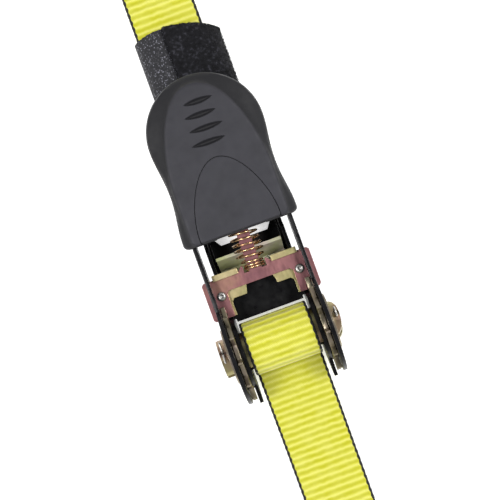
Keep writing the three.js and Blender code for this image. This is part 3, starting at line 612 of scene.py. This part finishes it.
def wound_strap():
    """About one and two thirds turns on the spool, then in through its slot."""
    wound_degrees = 610
    outer, inner = 9.9, 7.95
    angles = np.radians(np.linspace(-90, -90 + wound_degrees, 150))
    radii = np.linspace(outer, inner, 150)
    spiral = np.stack([radii * np.cos(angles), radii * np.sin(angles)], axis=1)
    slot = math.pi - SLOT_TILT
    along = np.array([math.cos(slot), math.sin(slot)])
    inwards = [6.9, 5.0, 0.0, -5.5]
    route = np.vstack([spiral[:-2], [along * u for u in inwards]])
    smooth = curve_through(route[-12:], 6)
    route = np.vstack([route[:-12], smooth])
    ribbon("wound_strap", route, "spool")


def long_strap_run():
    """From under the roll down to the floor and on to the hank."""
    top = -ROLL_RADIUS - GAP - PLY_HALF
    near = HANK_HIGH[1] + GAP
    route = curve_through(
        [
            (3, top - 0.1),
            (-3, top - 0.1),
            (-14, top - 0.9),
            (-30, top - 3.8),
            (-46, LYING + 1.0),
            (-60, LYING),
            (near, LYING),
        ]
    )
    ribbon("long_strap_run", route, "base")


def long_strap_hank():
    """Fourteen plies folded to and fro, squeezed a little where the tie goes round."""
    plies = 14
    near, far = HANK_HIGH[1], HANK_LOW[1]
    step = (HANK_HIGH[2] - HANK_LOW[2] - 0.2) / plies
    middle = (HANK_HIGH[2] + HANK_LOW[2]) / 2
    points = []
    for i in range(plies):
        z = FLOOR + 0.1 + step * (i + 0.5)
        start, end = (near, far) if i % 2 == 0 else (far, near)
        way = 1 if end > start else -1
        ragged = rng.uniform(0, 1.6)
        ys = np.linspace(start + way * 1.4, end - way * (1.4 + ragged), 40)
        squeeze = 1 - 0.16 * np.exp(-(((ys - TIE_Y) / 11) ** 2))
        points.append(np.stack([ys, middle + (z - middle) * squeeze], axis=1))
        if i < plies - 1:
            bend = arc(0, 0, step / 2, -90, 90, 9)[1:-1]
            bend[:, 0] = ys[-1] + way * 1.3 * bend[:, 0]
            bend[:, 1] += z + step / 2
            points.append(bend)
    ribbon("long_strap_hank", np.vstack(points), "base", step=0.65, columns=9)


def long_strap_tail():
    route = hook_loop(LONG_HOOK_Y, -1, HANK_LOW[1] - GAP, 23)
    ribbon("long_strap_tail", route, "base")


# ---- wire pieces ----
def coil(name, turn, place_at, radius, z, wire):
    """Spring wire wound about a line along Y at height z; turn counts the turns so far."""
    angles = 2 * math.pi * turn
    path = np.stack([radius * np.cos(angles), place_at, z + radius * np.sin(angles)], axis=1)
    return swept(name, path, wire, 10)


def turn_counts(turns):
    """How many turns have gone by at each point of a coil."""
    return np.linspace(0, turns, turns * 36 + 1)


def drive_spring():
    """Two close turns, seven open ones and a close one, between the pawl and the crossbar."""
    close_turns, open_turns, end_turns = 2, 7, 1
    turns = close_turns + open_turns + end_turns
    wire, near, far, close_step = 0.36, 27.5, 45.2, 0.95
    open_step = (far - near - (close_turns + end_turns) * close_step) / open_turns
    turn = turn_counts(turns)
    opened = near + close_turns * close_step + (turn - close_turns) * open_step
    opened = np.minimum(opened, far - (turns - turn) * close_step)
    place_at = np.where(turn < close_turns, near + turn * close_step, opened)
    radius = 3.5 + 1.6 * np.clip((turn - close_turns) / 1.5, 0, 1)
    spring = coil("drive_spring", turn, place_at, radius, 0, wire)
    finish_piece(spring, "handle", WIRE, ["drive_pawl_spring"])
    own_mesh(spring)


def lock_spring():
    """Four even turns between the lock pawl and its bracket."""
    turns, wire, near, far, radius = 4, 0.35, 24.3, 31.0, 3.1
    z = -9.5
    turn = turn_counts(turns)
    spring = coil("lock_spring", turn, near + (far - near) * turn / turns, radius, z, wire)
    finish_piece(spring, "base", WIRE, ["lock_pawl_spring"])
    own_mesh(spring)


SLOT_TILT = math.radians(20)  # lean of the slot between the spool's two halves


def cotter_pin(x, up, node):
    """A split pin: an eye at one end and legs bent apart at the other."""
    leg = [(3.6, 8.5), (2.0, 8.0), (0.6, 7.2), (0.5, 3.0), (0.5, -6.6)]
    eye = arc(0, -9.2, 1.5, 50, -230, 10)
    route = [*leg, *eye, *[(-u, w) for u, w in reversed(leg)]]
    sine, cosine = math.sin(SLOT_TILT), math.cos(SLOT_TILT)
    points = [(x, up * (u * cosine + w * sine), up * (-u * sine + w * cosine)) for u, w in route]
    pin = swept(node + "_wire", curve_through(points, 8), 0.42, 10)
    finish_piece(pin, "spool", STEEL, [node])


def wire_hook(bar_y, way, body, node):
    """A vinyl-dipped wire hook: a bar, two legs that close up, and a bend that stands up."""
    leg_x, close_x, bend, low, bend_from = 17.2, 2.9, 9, -1.6, 36
    side = [
        (leg_x - 4, 0, 0),
        (leg_x - 1, 0.9, 0),
        (leg_x, 4, 0),
        (leg_x, 8, -0.3),
        (leg_x - 3.5, 14, -0.7),
        (close_x + 3.2, 22, -1.3),
        (close_x, 27, low),
        (close_x, bend_from - 2, low),
    ]
    curl = [(close_x, u, z) for u, z in arc(bend_from, low + bend, bend, -80, 90, 9)]
    tip = [(close_x, bend_from - 5, low + 2 * bend + 0.6)]
    right = [(0, 0, 0), (8, 0, 0), *side, *curl, *tip]
    left = [(-x, u, z) for x, u, z in reversed(right[1:])]
    points = [(x, bar_y + way * u, HOOK_BAR_Z + z) for x, u, z in [*left, *right]]
    hook = swept(node + "_coated", curve_through(points, 10), HOOK_WIRE, 24)
    finish_piece(hook, body, VINYL, [node])


def domed_rivet(node, x, y):
    """A rivet through the drive pawl, with a rolled head round a dimple, and a shank."""
    head, shank, top, bottom = 1.7, 1.2, 1.7, -3.2
    profile = [
        (0.0, top - 0.42),
        (head * 0.2, top - 0.38),
        (head * 0.36, top - 0.16),
        (head * 0.5, top),
        (head * 0.66, top - 0.02),
        (head * 0.82, top - 0.16),
        (head * 0.95, top - 0.38),
        (head, top - 0.6),
        (shank, top - 0.6),
        (shank, bottom + 0.6),
        (head, bottom + 0.6),
        (head * 0.95, bottom + 0.2),
        (head * 0.7, bottom),
        (0.0, bottom),
    ]
    rivet = turned(node + "_domed", profile, x, y)
    finish_piece(rivet, "drive_pawl", STEEL, [node])


def turned(name, profile, x, y, sides=40):
    """A body turned about an upright line through (x, y); the profile's (radius, height) ends lie on it."""
    angles = np.linspace(0, 2 * math.pi, sides, endpoint=False)
    points, faces = [(x, y, profile[0][1])], []
    for radius, z in profile[1:-1]:
        points += [(x + radius * math.cos(a), y + radius * math.sin(a), z) for a in angles]
    points.append((x, y, profile[-1][1]))
    rows = len(profile) - 2
    for j in range(sides):
        k = (j + 1) % sides
        faces.append((0, 1 + j, 1 + k))
        faces.append((len(points) - 1, 1 + (rows - 1) * sides + k, 1 + (rows - 1) * sides + j))
        for i in range(rows - 1):
            a, b = 1 + i * sides, 1 + (i + 1) * sides
            faces.append((a + j, b + j, b + k, a + k))
    return mesh_piece(name, points, faces, smooth=40)


# ---- grip cover ----
cover_low, cover_high = extent("cover_top")
COVER_NEAR, COVER_TIP = cover_low[1], cover_high[1]
SPLIT = cover_low[2]  # height where the top shell meets the lower one
RIM = CROWN - 2.2
COVER_HALF = 21.4
WAIST, WAIST_Y = 19.8, 61.0
TIP_RADIUS = 21.3
TIP_Y = COVER_TIP - TIP_RADIUS
CROWN_EDGE = {"half": 18.2, "straight": 60, "apex": 96.2, "lean": 12, "turn": 2.4}
PANEL_HALF, PANEL_STRAIGHT, PANEL_APEX, PANEL_LEAN = 14.9, 43, 68.6, 8
PANEL_GAP = 0.22
SCREW_X, SCREW_Y = 10, 86
ROOM_BOTTOM, BAY_TOP, ROUND_TOP = -4.3, 7.5, 6.6
LEAVES = [(1.0, 89.4, 5.4), (0.2, 84.7, 5.9), (0.6, 79.7, 6.3), (-0.3, 74.6, 6.3)]  # x, y, half length


def bezier(a, b, c, d, count):
    t = np.linspace(0, 1, count, endpoint=False)[:, None]
    a, b, c, d = (np.array(p, float) for p in (a, b, c, d))
    return (1 - t) ** 3 * a + 3 * (1 - t) ** 2 * t * b + 3 * (1 - t) * t**2 * c + t**3 * d


def half_outline(near_edge, corner, side):
    """The right half of an outline, its near edge, corner and side each with a set number of points."""
    return np.vstack([resample_to(near_edge, 17)[:-1], resample_to(corner, 9)[:-1], resample_to(side, 76)])


def grip_half():
    """The right half of the grip's outline, from the middle of its near edge to its tip."""
    near, half, turn = COVER_NEAR, COVER_HALF, 2.0
    side = [
        bezier((half, near + turn), (half, near + 9), (WAIST, WAIST_Y - 7), (WAIST, WAIST_Y), 24),
        bezier((WAIST, WAIST_Y), (WAIST, WAIST_Y + 7), (TIP_RADIUS, TIP_Y - 6), (TIP_RADIUS, TIP_Y), 24),
        arc(0, TIP_Y, TIP_RADIUS, 0, 90, 48),
    ]
    start, end = (half - turn, near), (half, near + turn)
    corner = np.vstack([bezier(start, (half - 0.7, near), (half, near + 0.7), end, 9), [end]])
    return half_outline(np.array([(0, near), start]), corner, np.vstack(side))


def arch_half(near, half, straight, apex, lean, turn=0.7):
    """The right half of a pointed arch, from the middle of its near edge to its apex."""
    reach = apex - straight
    side = [
        [(half, near + turn)],
        bezier((half, straight), (half, straight + 0.4 * reach), (lean, apex), (0, apex), 60),
        [(0, apex)],
    ]
    pull = 0.45 * turn
    start, end = (half - turn, near), (half, near + turn)
    corner = np.vstack([bezier(start, (half - pull, near), (half, near + pull), end, 9), [end]])
    return half_outline(np.array([(0, near), start]), corner, np.vstack(side))


def resample_to(path, count):
    length = np.concatenate([[0], np.cumsum(np.linalg.norm(np.diff(path, axis=0), axis=1))])
    where = np.linspace(0, length[-1], count)
    return np.stack([np.interp(where, length, path[:, k]) for k in range(2)], axis=1)


def whole(half):
    """A closed outline from its right half."""
    left = half[1:-1][::-1] * (-1, 1)
    return np.vstack([half, left])


def inset(outline, distance):
    """The outline moved inwards."""
    ahead = np.roll(outline, -1, axis=0)
    behind = np.roll(outline, 1, axis=0)
    along = ahead - behind
    along /= np.linalg.norm(along, axis=1)[:, None]
    return outline + distance * np.stack([-along[:, 1], along[:, 0]], axis=1)


def layered(name, layers, centre_top, centre_bottom):
    """A closed body from outlines at heights, from the bottom up; each layer is (outline, z)."""
    sides = len(layers[0][0])
    points = [np.column_stack([outline, np.full(sides, z)]) for outline, z in layers]
    points = [*np.vstack(points), (*centre_bottom,), (*centre_top,)]
    faces = ring_faces(len(layers), sides)
    bottom, top = len(points) - 2, len(points) - 1
    last = (len(layers) - 1) * sides
    for j in range(sides):
        k = (j + 1) % sides
        faces.append((bottom, k, j))
        faces.append((top, last + j, last + k))
    return mesh_piece(name, np.array(points), faces, smooth=30)


def block(name, low, high):
    x0, y0, z0 = low
    x1, y1, z1 = high
    points = [(x, y, z) for z in (z0, z1) for y in (y0, y1) for x in (x0, x1)]
    faces = [(0, 2, 3, 1), (4, 5, 7, 6), (0, 1, 5, 4), (2, 6, 7, 3), (0, 4, 6, 2), (1, 3, 7, 5)]
    return mesh_piece(name, points, faces)


def cut(piece, *tools):
    """Takes the tools away from the piece."""
    for tool in tools:
        step = piece.modifiers.new("cut", "BOOLEAN")
        step.operation = "DIFFERENCE"
        step.solver = "MANIFOLD"
        step.object = tool
        apply_modifiers(piece)
        bpy.data.objects.remove(tool)
    return piece


def leaf_cutter(x, y, half):
    """A scooped leaf: pointed ends, deepest along its middle."""
    count, rows = 25, 9
    half_width, deepest = 1.15, 1.1
    points, faces = [], []
    for i in range(count):
        u = -1 + 2 * i / (count - 1)
        reach = half_width * (1 - u * u) ** 0.8 + 0.01
        bow = -0.1 * (1 - u * u)
        for j in range(rows):
            v = -1 + 2 * j / (rows - 1)
            depth = deepest * (1 - v * v) * (1 - u * u) ** 0.5
            points.append((x + half * u, y + bow + reach * v, CROWN - depth))
    rise = [(px, py, CROWN + 1.0) for px, py, _ in points]
    total = len(points)
    for i in range(count - 1):
        for j in range(rows - 1):
            a = i * rows + j
            faces.append((a, a + 1, a + rows + 1, a + rows))
            faces.append((total + a, total + a + rows, total + a + rows + 1, total + a + 1))
    rim = [i * rows for i in range(count)] + [(count - 1) * rows + j for j in range(1, rows)]
    rim += [i * rows + rows - 1 for i in range(count - 2, -1, -1)] + [j for j in range(rows - 2, 0, -1)]
    for a, b in zip(rim, rim[1:] + rim[:1]):
        faces.append((a, b, total + b, total + a))
    return mesh_piece("leaf_cutter", points + rise, faces)


def round_room():
    outline = whole(resample_to(arc(0, TIP_Y, TIP_RADIUS - 3.1, -90, 90, 40), 40))
    layers = [(outline, ROOM_BOTTOM), (outline, ROUND_TOP)]
    return layered("round_room", layers, (0, TIP_Y, ROUND_TOP), (0, TIP_Y, ROOM_BOTTOM))


def screw_posts(radius, z0, z1):
    """An upright cylinder at each of the two cover screws."""
    profile = [(0, z1), (radius, z1), (radius, z0), (0, z0)]
    return [turned("post", profile, side * SCREW_X, SCREW_Y, 32) for side in (-1, 1)]


def rooms():
    """The hollow of the grip: the plates' bay, and the round end with its two screw bosses left standing."""
    bay = block("bay", (-19.0, COVER_NEAR - 3, ROOM_BOTTOM), (19.0, 70, BAY_TOP))
    return [bay, cut(round_room(), *screw_posts(3.2, -6, 9))]


def finish_cover(piece, node):
    piece.data.polygons.foreach_set("use_smooth", [True] * len(piece.data.polygons))
    piece.data.set_sharp_from_angle(angle=math.radians(28))
    finish_piece(piece, "handle", GRIP, [node])


def cover_top():
    """The upper shell: a rounded rim that climbs to a raised crown with a recess and leaf grooves."""
    grip = whole(grip_half())
    crown = whole(arch_half(COVER_NEAR, **CROWN_EDGE))

    def between(share):
        return grip + share * (crown - grip)

    layers = [
        (grip, SPLIT),
        (grip, RIM - 1.9),
        (inset(grip, 0.15), RIM - 1.1),
        (inset(grip, 0.55), RIM - 0.5),
        (between(0.36), RIM + 0.1),
        (between(0.62), RIM + 0.6),
        (between(0.86), RIM + 1.15),
        (crown, RIM + 1.7),
        (inset(crown, 0.25), CROWN - 0.25),
        (inset(crown, 0.7), CROWN - 0.05),
        (inset(crown, 1.3), CROWN),
    ]
    spine = np.column_stack([np.zeros(len(crown)), np.clip(crown[:, 1], COVER_NEAR + 17, 84)])
    flat = inset(crown, 1.3)
    layers += [(flat + share * (spine - flat), CROWN) for share in (0.3, 0.65, 0.97)]
    cover = layered("cover_top_moulded", layers, (0, 70, CROWN), (0, 70, SPLIT))
    half, apex = PANEL_HALF + PANEL_GAP, PANEL_APEX + PANEL_GAP
    arch = whole(arch_half(COVER_NEAR - 2, half, PANEL_STRAIGHT, apex, PANEL_LEAN))
    low, high = CROWN - 1.3, CROWN + 2
    recess = layered("recess", [(arch, low), (arch, high)], (0, 50, high), (0, 50, low))
    holes = screw_posts(1.55, SPLIT - 1, 4.9)
    cut(cover, *rooms(), recess, *holes, *[leaf_cutter(*leaf) for leaf in LEAVES])
    finish_cover(cover, "cover_top")


def cover_panel():
    """The plain arch-shaped panel that fills the recess."""
    outline = whole(arch_half(COVER_NEAR + 0.6, PANEL_HALF, PANEL_STRAIGHT, PANEL_APEX, PANEL_LEAN))
    layers = [
        (inset(outline, 0.15), CROWN - 1.0),
        (outline, CROWN - 0.85),
        (outline, CROWN - 0.22),
        (inset(outline, 0.07), CROWN - 0.07),
        (inset(outline, 0.24), CROWN),
        (inset(outline, 0.5), CROWN),
    ]
    panel = layered("cover_panel_moulded", layers, (0, 52, CROWN), (0, 52, CROWN - 1.0))
    finish_piece(panel, "handle", GRIP, ["cover_panel"])


def cover_bottom():
    """The lower shell, open in the middle for a finger on the pull tab."""
    grip = whole(grip_half())
    low, high = (corner[2] for corner in extent("cover_bottom"))
    layers = [
        (inset(grip, 1.7), low),
        (inset(grip, 0.8), low + 0.2),
        (inset(grip, 0.25), low + 0.7),
        (grip, low + 1.6),
        (grip, high),
    ]
    shell = layered("cover_bottom_moulded", layers, (0, 70, high), (0, 70, low))
    finger = block("finger", (-9.5, 30, -10), (9.5, 66, 5))
    holes = screw_posts(1.55, -8, 5)
    seats = screw_posts(2.6, -8, ROOM_BOTTOM)
    cut(shell, *rooms(), finger, *holes, *seats)
    finish_cover(shell, "cover_bottom")


# ---- storage wrap ----
wrap_low, wrap_high = extent("storage_wrap_loop_tape")
WRAP_NEAR, WRAP_FAR = wrap_low[1], wrap_high[1]
WRAP_MIDDLE = (wrap_low[2] + wrap_high[2]) / 2
WRAP_HALF = 16.1
WRAP_X = wrap_high[0] - WRAP_HALF
SEAM_X = -3.2  # where the loop tape's cut end lies
WRAP_BOW = 3.8  # the far edges fall back this much towards the wrap's sides
WRAP_LEAN = 0.143  # and by this share of the distance to the right


def stadium(half, rise, count=96):
    """A long oval seen end-on (x, z), anticlockwise from its right end."""
    angles = np.linspace(0, 2 * math.pi, count, endpoint=False)
    flat = half - rise
    across = np.cos(angles)
    x = np.sign(across) * flat * np.abs(across) ** 0.35 + rise * across
    return np.stack([x, rise * np.sin(angles)], axis=1)


def band(name, outer, inner, near, far, closed=True, wave=0.0, bow=0.0, lean=0.0, centre=(0, 0)):
    """The ring or arc of tape between two end-on outlines, with a wavy far edge that bows and leans."""
    count = len(outer)
    rows = 40
    points, faces = [], []
    for i in range(rows + 1):
        share = i / rows
        y = near + share * (far - near)
        points.append(np.column_stack([outer[:, 0], np.full(count, y), outer[:, 1]]))
        points.append(np.column_stack([inner[:, 0], np.full(count, y), inner[:, 1]]))
    points = np.vstack(points)
    share = (points[:, 1] - near) / (far - near)
    points[:, 1] -= share * (bow * (points[:, 0] / WRAP_HALF) ** 2 + lean * points[:, 0])
    points[:, 0] += centre[0]
    points[:, 2] += centre[1]
    ends = wave * np.sin(np.arange(count) * 2 * math.pi / 3.0)
    points[: 2 * count, 1] += np.tile(ends, 2)
    points[-2 * count :, 1] += np.tile(ends, 2)
    span = count if closed else count - 1
    row = 2 * count
    for i in range(rows):
        for j in range(span):
            k = (j + 1) % count
            a, b = i * row, (i + 1) * row
            faces.append((a + j, b + j, b + k, a + k))
            faces.append((a + count + j, a + count + k, b + count + k, b + count + j))
    for j in range(span):
        k = (j + 1) % count
        last = rows * row
        faces.append((j, k, count + k, count + j))
        faces.append((last + j, last + count + j, last + count + k, last + k))
    if not closed:
        for i in range(rows):
            a, b = i * row, (i + 1) * row
            faces.append((a, a + count, b + count, b))
            faces.append((a + count - 1, b + count - 1, b + 2 * count - 1, a + 2 * count - 1))
    return mesh_piece(name, points, faces, smooth=40)


def hook_tape():
    """The inner tape's visible turn, with the turns under it seen at its ends."""
    shown = stadium(WRAP_HALF - 0.5, 6.1)
    under = stadium(WRAP_HALF - 1.75, 4.85)
    covered = np.clip((shown[:, 0] + WRAP_X - SEAM_X) / 0.6 + 0.5, 0, 1)[:, None]
    outer = shown * (1 - covered) + under * covered
    middle = stadium(WRAP_HALF - 1.85, 3.4)
    inside = stadium(WRAP_HALF - 1.9, 3.3)
    hole = stadium(WRAP_HALF - 2.4, 1.85)
    place_at = {"centre": (WRAP_X, WRAP_MIDDLE), "bow": WRAP_BOW, "lean": WRAP_LEAN}
    first = band("hook_tape_outer", outer, middle, WRAP_NEAR, WRAP_FAR - 0.3, wave=0.1, **place_at)
    second = band("hook_tape_inner", inside, hole, WRAP_NEAR + 0.4, WRAP_FAR - 0.8, wave=0.08, **place_at)
    for piece, nodes in ((first, ["storage_wrap_hook_tape"]), (second, ())):
        finish_piece(piece, "base", HOOK_TAPE, nodes)


def loop_tape():
    """The outer tape over the right of the wrap, its cut end along the seam."""
    full = stadium(WRAP_HALF, 6.6, 200)
    inner = stadium(WRAP_HALF - 1.6, 5.0, 200)
    keep = full[:, 0] + WRAP_X > SEAM_X + 0.3
    order = np.roll(np.arange(200), 100)
    order = order[keep[order]]
    tape = band(
        "loop_tape_outer",
        full[order],
        inner[order],
        WRAP_NEAR,
        WRAP_FAR,
        closed=False,
        wave=0.12,
        bow=WRAP_BOW,
        lean=WRAP_LEAN,
        centre=(WRAP_X, WRAP_MIDDLE),
    )
    finish_piece(tape, "base", LOOP_TAPE, ["storage_wrap_loop_tape"])
    loop_pile(full[order])


def loop_pile(outline):
    """Small arcs of fibre that stand on the loop tape and along its edges, but not under it."""
    fuzz = []
    faces = []
    sides = 3
    fibre = 0.05
    for _ in range(2600):
        base = outline[rng.integers(0, len(outline) - 1)]
        if base[1] < -5.5:
            continue
        y = rng.uniform(WRAP_NEAR + 0.1, WRAP_FAR - 0.1)
        if rng.uniform() < 0.3:
            y = rng.choice([WRAP_NEAR + 0.05, WRAP_FAR - 0.05])
        out = base / np.linalg.norm(base)
        height = rng.uniform(0.2, 0.42)
        reach = rng.uniform(0.15, 0.45)
        turn = rng.uniform(0, 2 * math.pi)
        side = np.array([-out[1], out[0]])
        run = np.array([side[0] * math.cos(turn), math.sin(turn), side[1] * math.cos(turn)])
        stations = np.linspace(0, math.pi, 5)
        start = len(fuzz) * sides
        for a in stations:
            shift = reach * math.cos(a)
            fall = WRAP_BOW * (base[0] / WRAP_HALF) ** 2 + WRAP_LEAN * base[0]
            fall *= (y - WRAP_NEAR) / (WRAP_FAR - WRAP_NEAR)
            centre = np.array([base[0] + WRAP_X, y - fall, base[1] + WRAP_MIDDLE])
            centre = centre + height * math.sin(a) * np.array([out[0], 0, out[1]])
            centre = centre + shift * run
            spokes = [np.array([math.cos(w), math.sin(w), math.sin(w + 1)]) for w in (0, 2.1, 4.2)]
            fuzz.append(np.array([centre + fibre * spoke for spoke in spokes]))
        faces += [tuple(start + k for k in face) for face in ring_faces(len(stations), sides)]
        faces.append(tuple(start + k for k in range(sides)))
        last = start + (len(stations) - 1) * sides
        faces.append(tuple(last + k for k in reversed(range(sides))))
    pile = mesh_piece("loop_tape_pile", np.vstack(fuzz), faces)
    finish_piece(pile, "base", LOOP_TAPE)


def hank_tie():
    """A hook-and-loop tie round the folded strap, as one closed band."""
    half, rise = TIE_HIGH[0], (TIE_HIGH[2] - TIE_LOW[2]) / 2
    middle = (TIE_HIGH[2] + TIE_LOW[2]) / 2
    corner, thick = 1.6, 1.5

    def outline(inwards):
        a, b, r = half - inwards, rise - inwards, max(corner - inwards, 0.3)
        corners = [(a - r, b - r, 0), (-a + r, b - r, 90), (-a + r, -b + r, 180), (a - r, -b + r, 270)]
        return np.vstack([arc(x, z, r, start, start + 90, 7) for x, z, start in corners])

    near, far = TIE_LOW[1], TIE_HIGH[1]
    tie = band("hank_tie_tape", outline(0.0), outline(thick), near, far, wave=0.08, centre=(0, middle))
    finish_piece(tie, "base", LOOP_TAPE, ["hank_tie"])


# ---- metal pieces: node, body, slot, look, and the rounding of its edges in mm ----
METAL = [
    ("base_frame", "base", "black_steel", BLACK, 0.22),
    ("strap_anchor_bolt", "base", "gold_zinc", GOLD, 0.3),
    ("strap_anchor_nut", "base", "gold_zinc", GOLD, 0.25),
    # painted light and reflection brighten the bracket's gold zinc
    ("lock_spring_bracket", "base", "gold_zinc", GOLD_ZINC_PAINTED_LIGHT, 0.18),
    ("bracket_rivet_left", "base", "grey_steel", STEEL, 0.25),
    ("bracket_rivet_right", "base", "grey_steel", STEEL, 0.25),
    ("lock_pawl_plate", "lock_pawl", "black_steel", BLACK, 0.2),
    ("handle_plate_left", "handle", "grey_steel", DARK, 0.2),
    ("handle_plate_right", "handle", "grey_steel", DARK, 0.2),
    ("handle_crossbar", "handle", "grey_steel", DARK, 0.15),
    ("handle_spacer", "handle", "grey_steel", STEEL, 0.2),
    ("cover_screw_left", "handle", "grey_steel", STEEL, 0.15),
    ("cover_screw_right", "handle", "grey_steel", STEEL, 0.15),
    ("drive_pawl_plate", "drive_pawl", "pink_zinc", PINK, 0.22),
    ("drive_pawl_backing", "drive_pawl", "gold_zinc", GOLD, 0.2),
    ("release_pull_tab", "drive_pawl", "pink_zinc", PINK, 0.2),
    # painted shade darkens the gold zinc of the mandrel ends, gears and washers
    ("mandrel_front", "spool", "gold_zinc", OLIVE_ZINC_PAINTED_SHADE, 0.18),
    ("mandrel_rear", "spool", "gold_zinc", OLIVE_ZINC_PAINTED_SHADE, 0.18),
    ("ratchet_gear_left", "spool", "gold_zinc", BRONZE_ZINC_PAINTED_SHADE, 0.18),
    ("ratchet_gear_right", "spool", "gold_zinc", BRONZE_ZINC_PAINTED_SHADE, 0.18),
    ("axle_washer_left", "spool", "gold_zinc", BRONZE_ZINC_PAINTED_SHADE, 0.12),
    ("axle_washer_right", "spool", "gold_zinc", BRONZE_ZINC_PAINTED_SHADE, 0.12),
]


make_studio()
make_camera()
for metal_piece in METAL:
    refined(*metal_piece)
domed_rivet("pawl_rivet_left", -14.9, 21.5)
domed_rivet("pawl_rivet_right", 14.9, 21.5)
domed_rivet("pull_tab_rivet", 0, 52.4)
drive_spring()
lock_spring()
cotter_pin(-21.2, 1, "cotter_pin_left")
cotter_pin(21.2, -1, "cotter_pin_right")
wire_hook(SHORT_HOOK_Y, 1, "short_hook", "short_hook")
wire_hook(LONG_HOOK_Y, -1, "long_hook", "long_hook")
wound_strap()
short_strap()
long_strap_run()
long_strap_hank()
long_strap_tail()
hook_tape()
loop_tape()
hank_tie()
cover_top()
cover_panel()
cover_bottom()
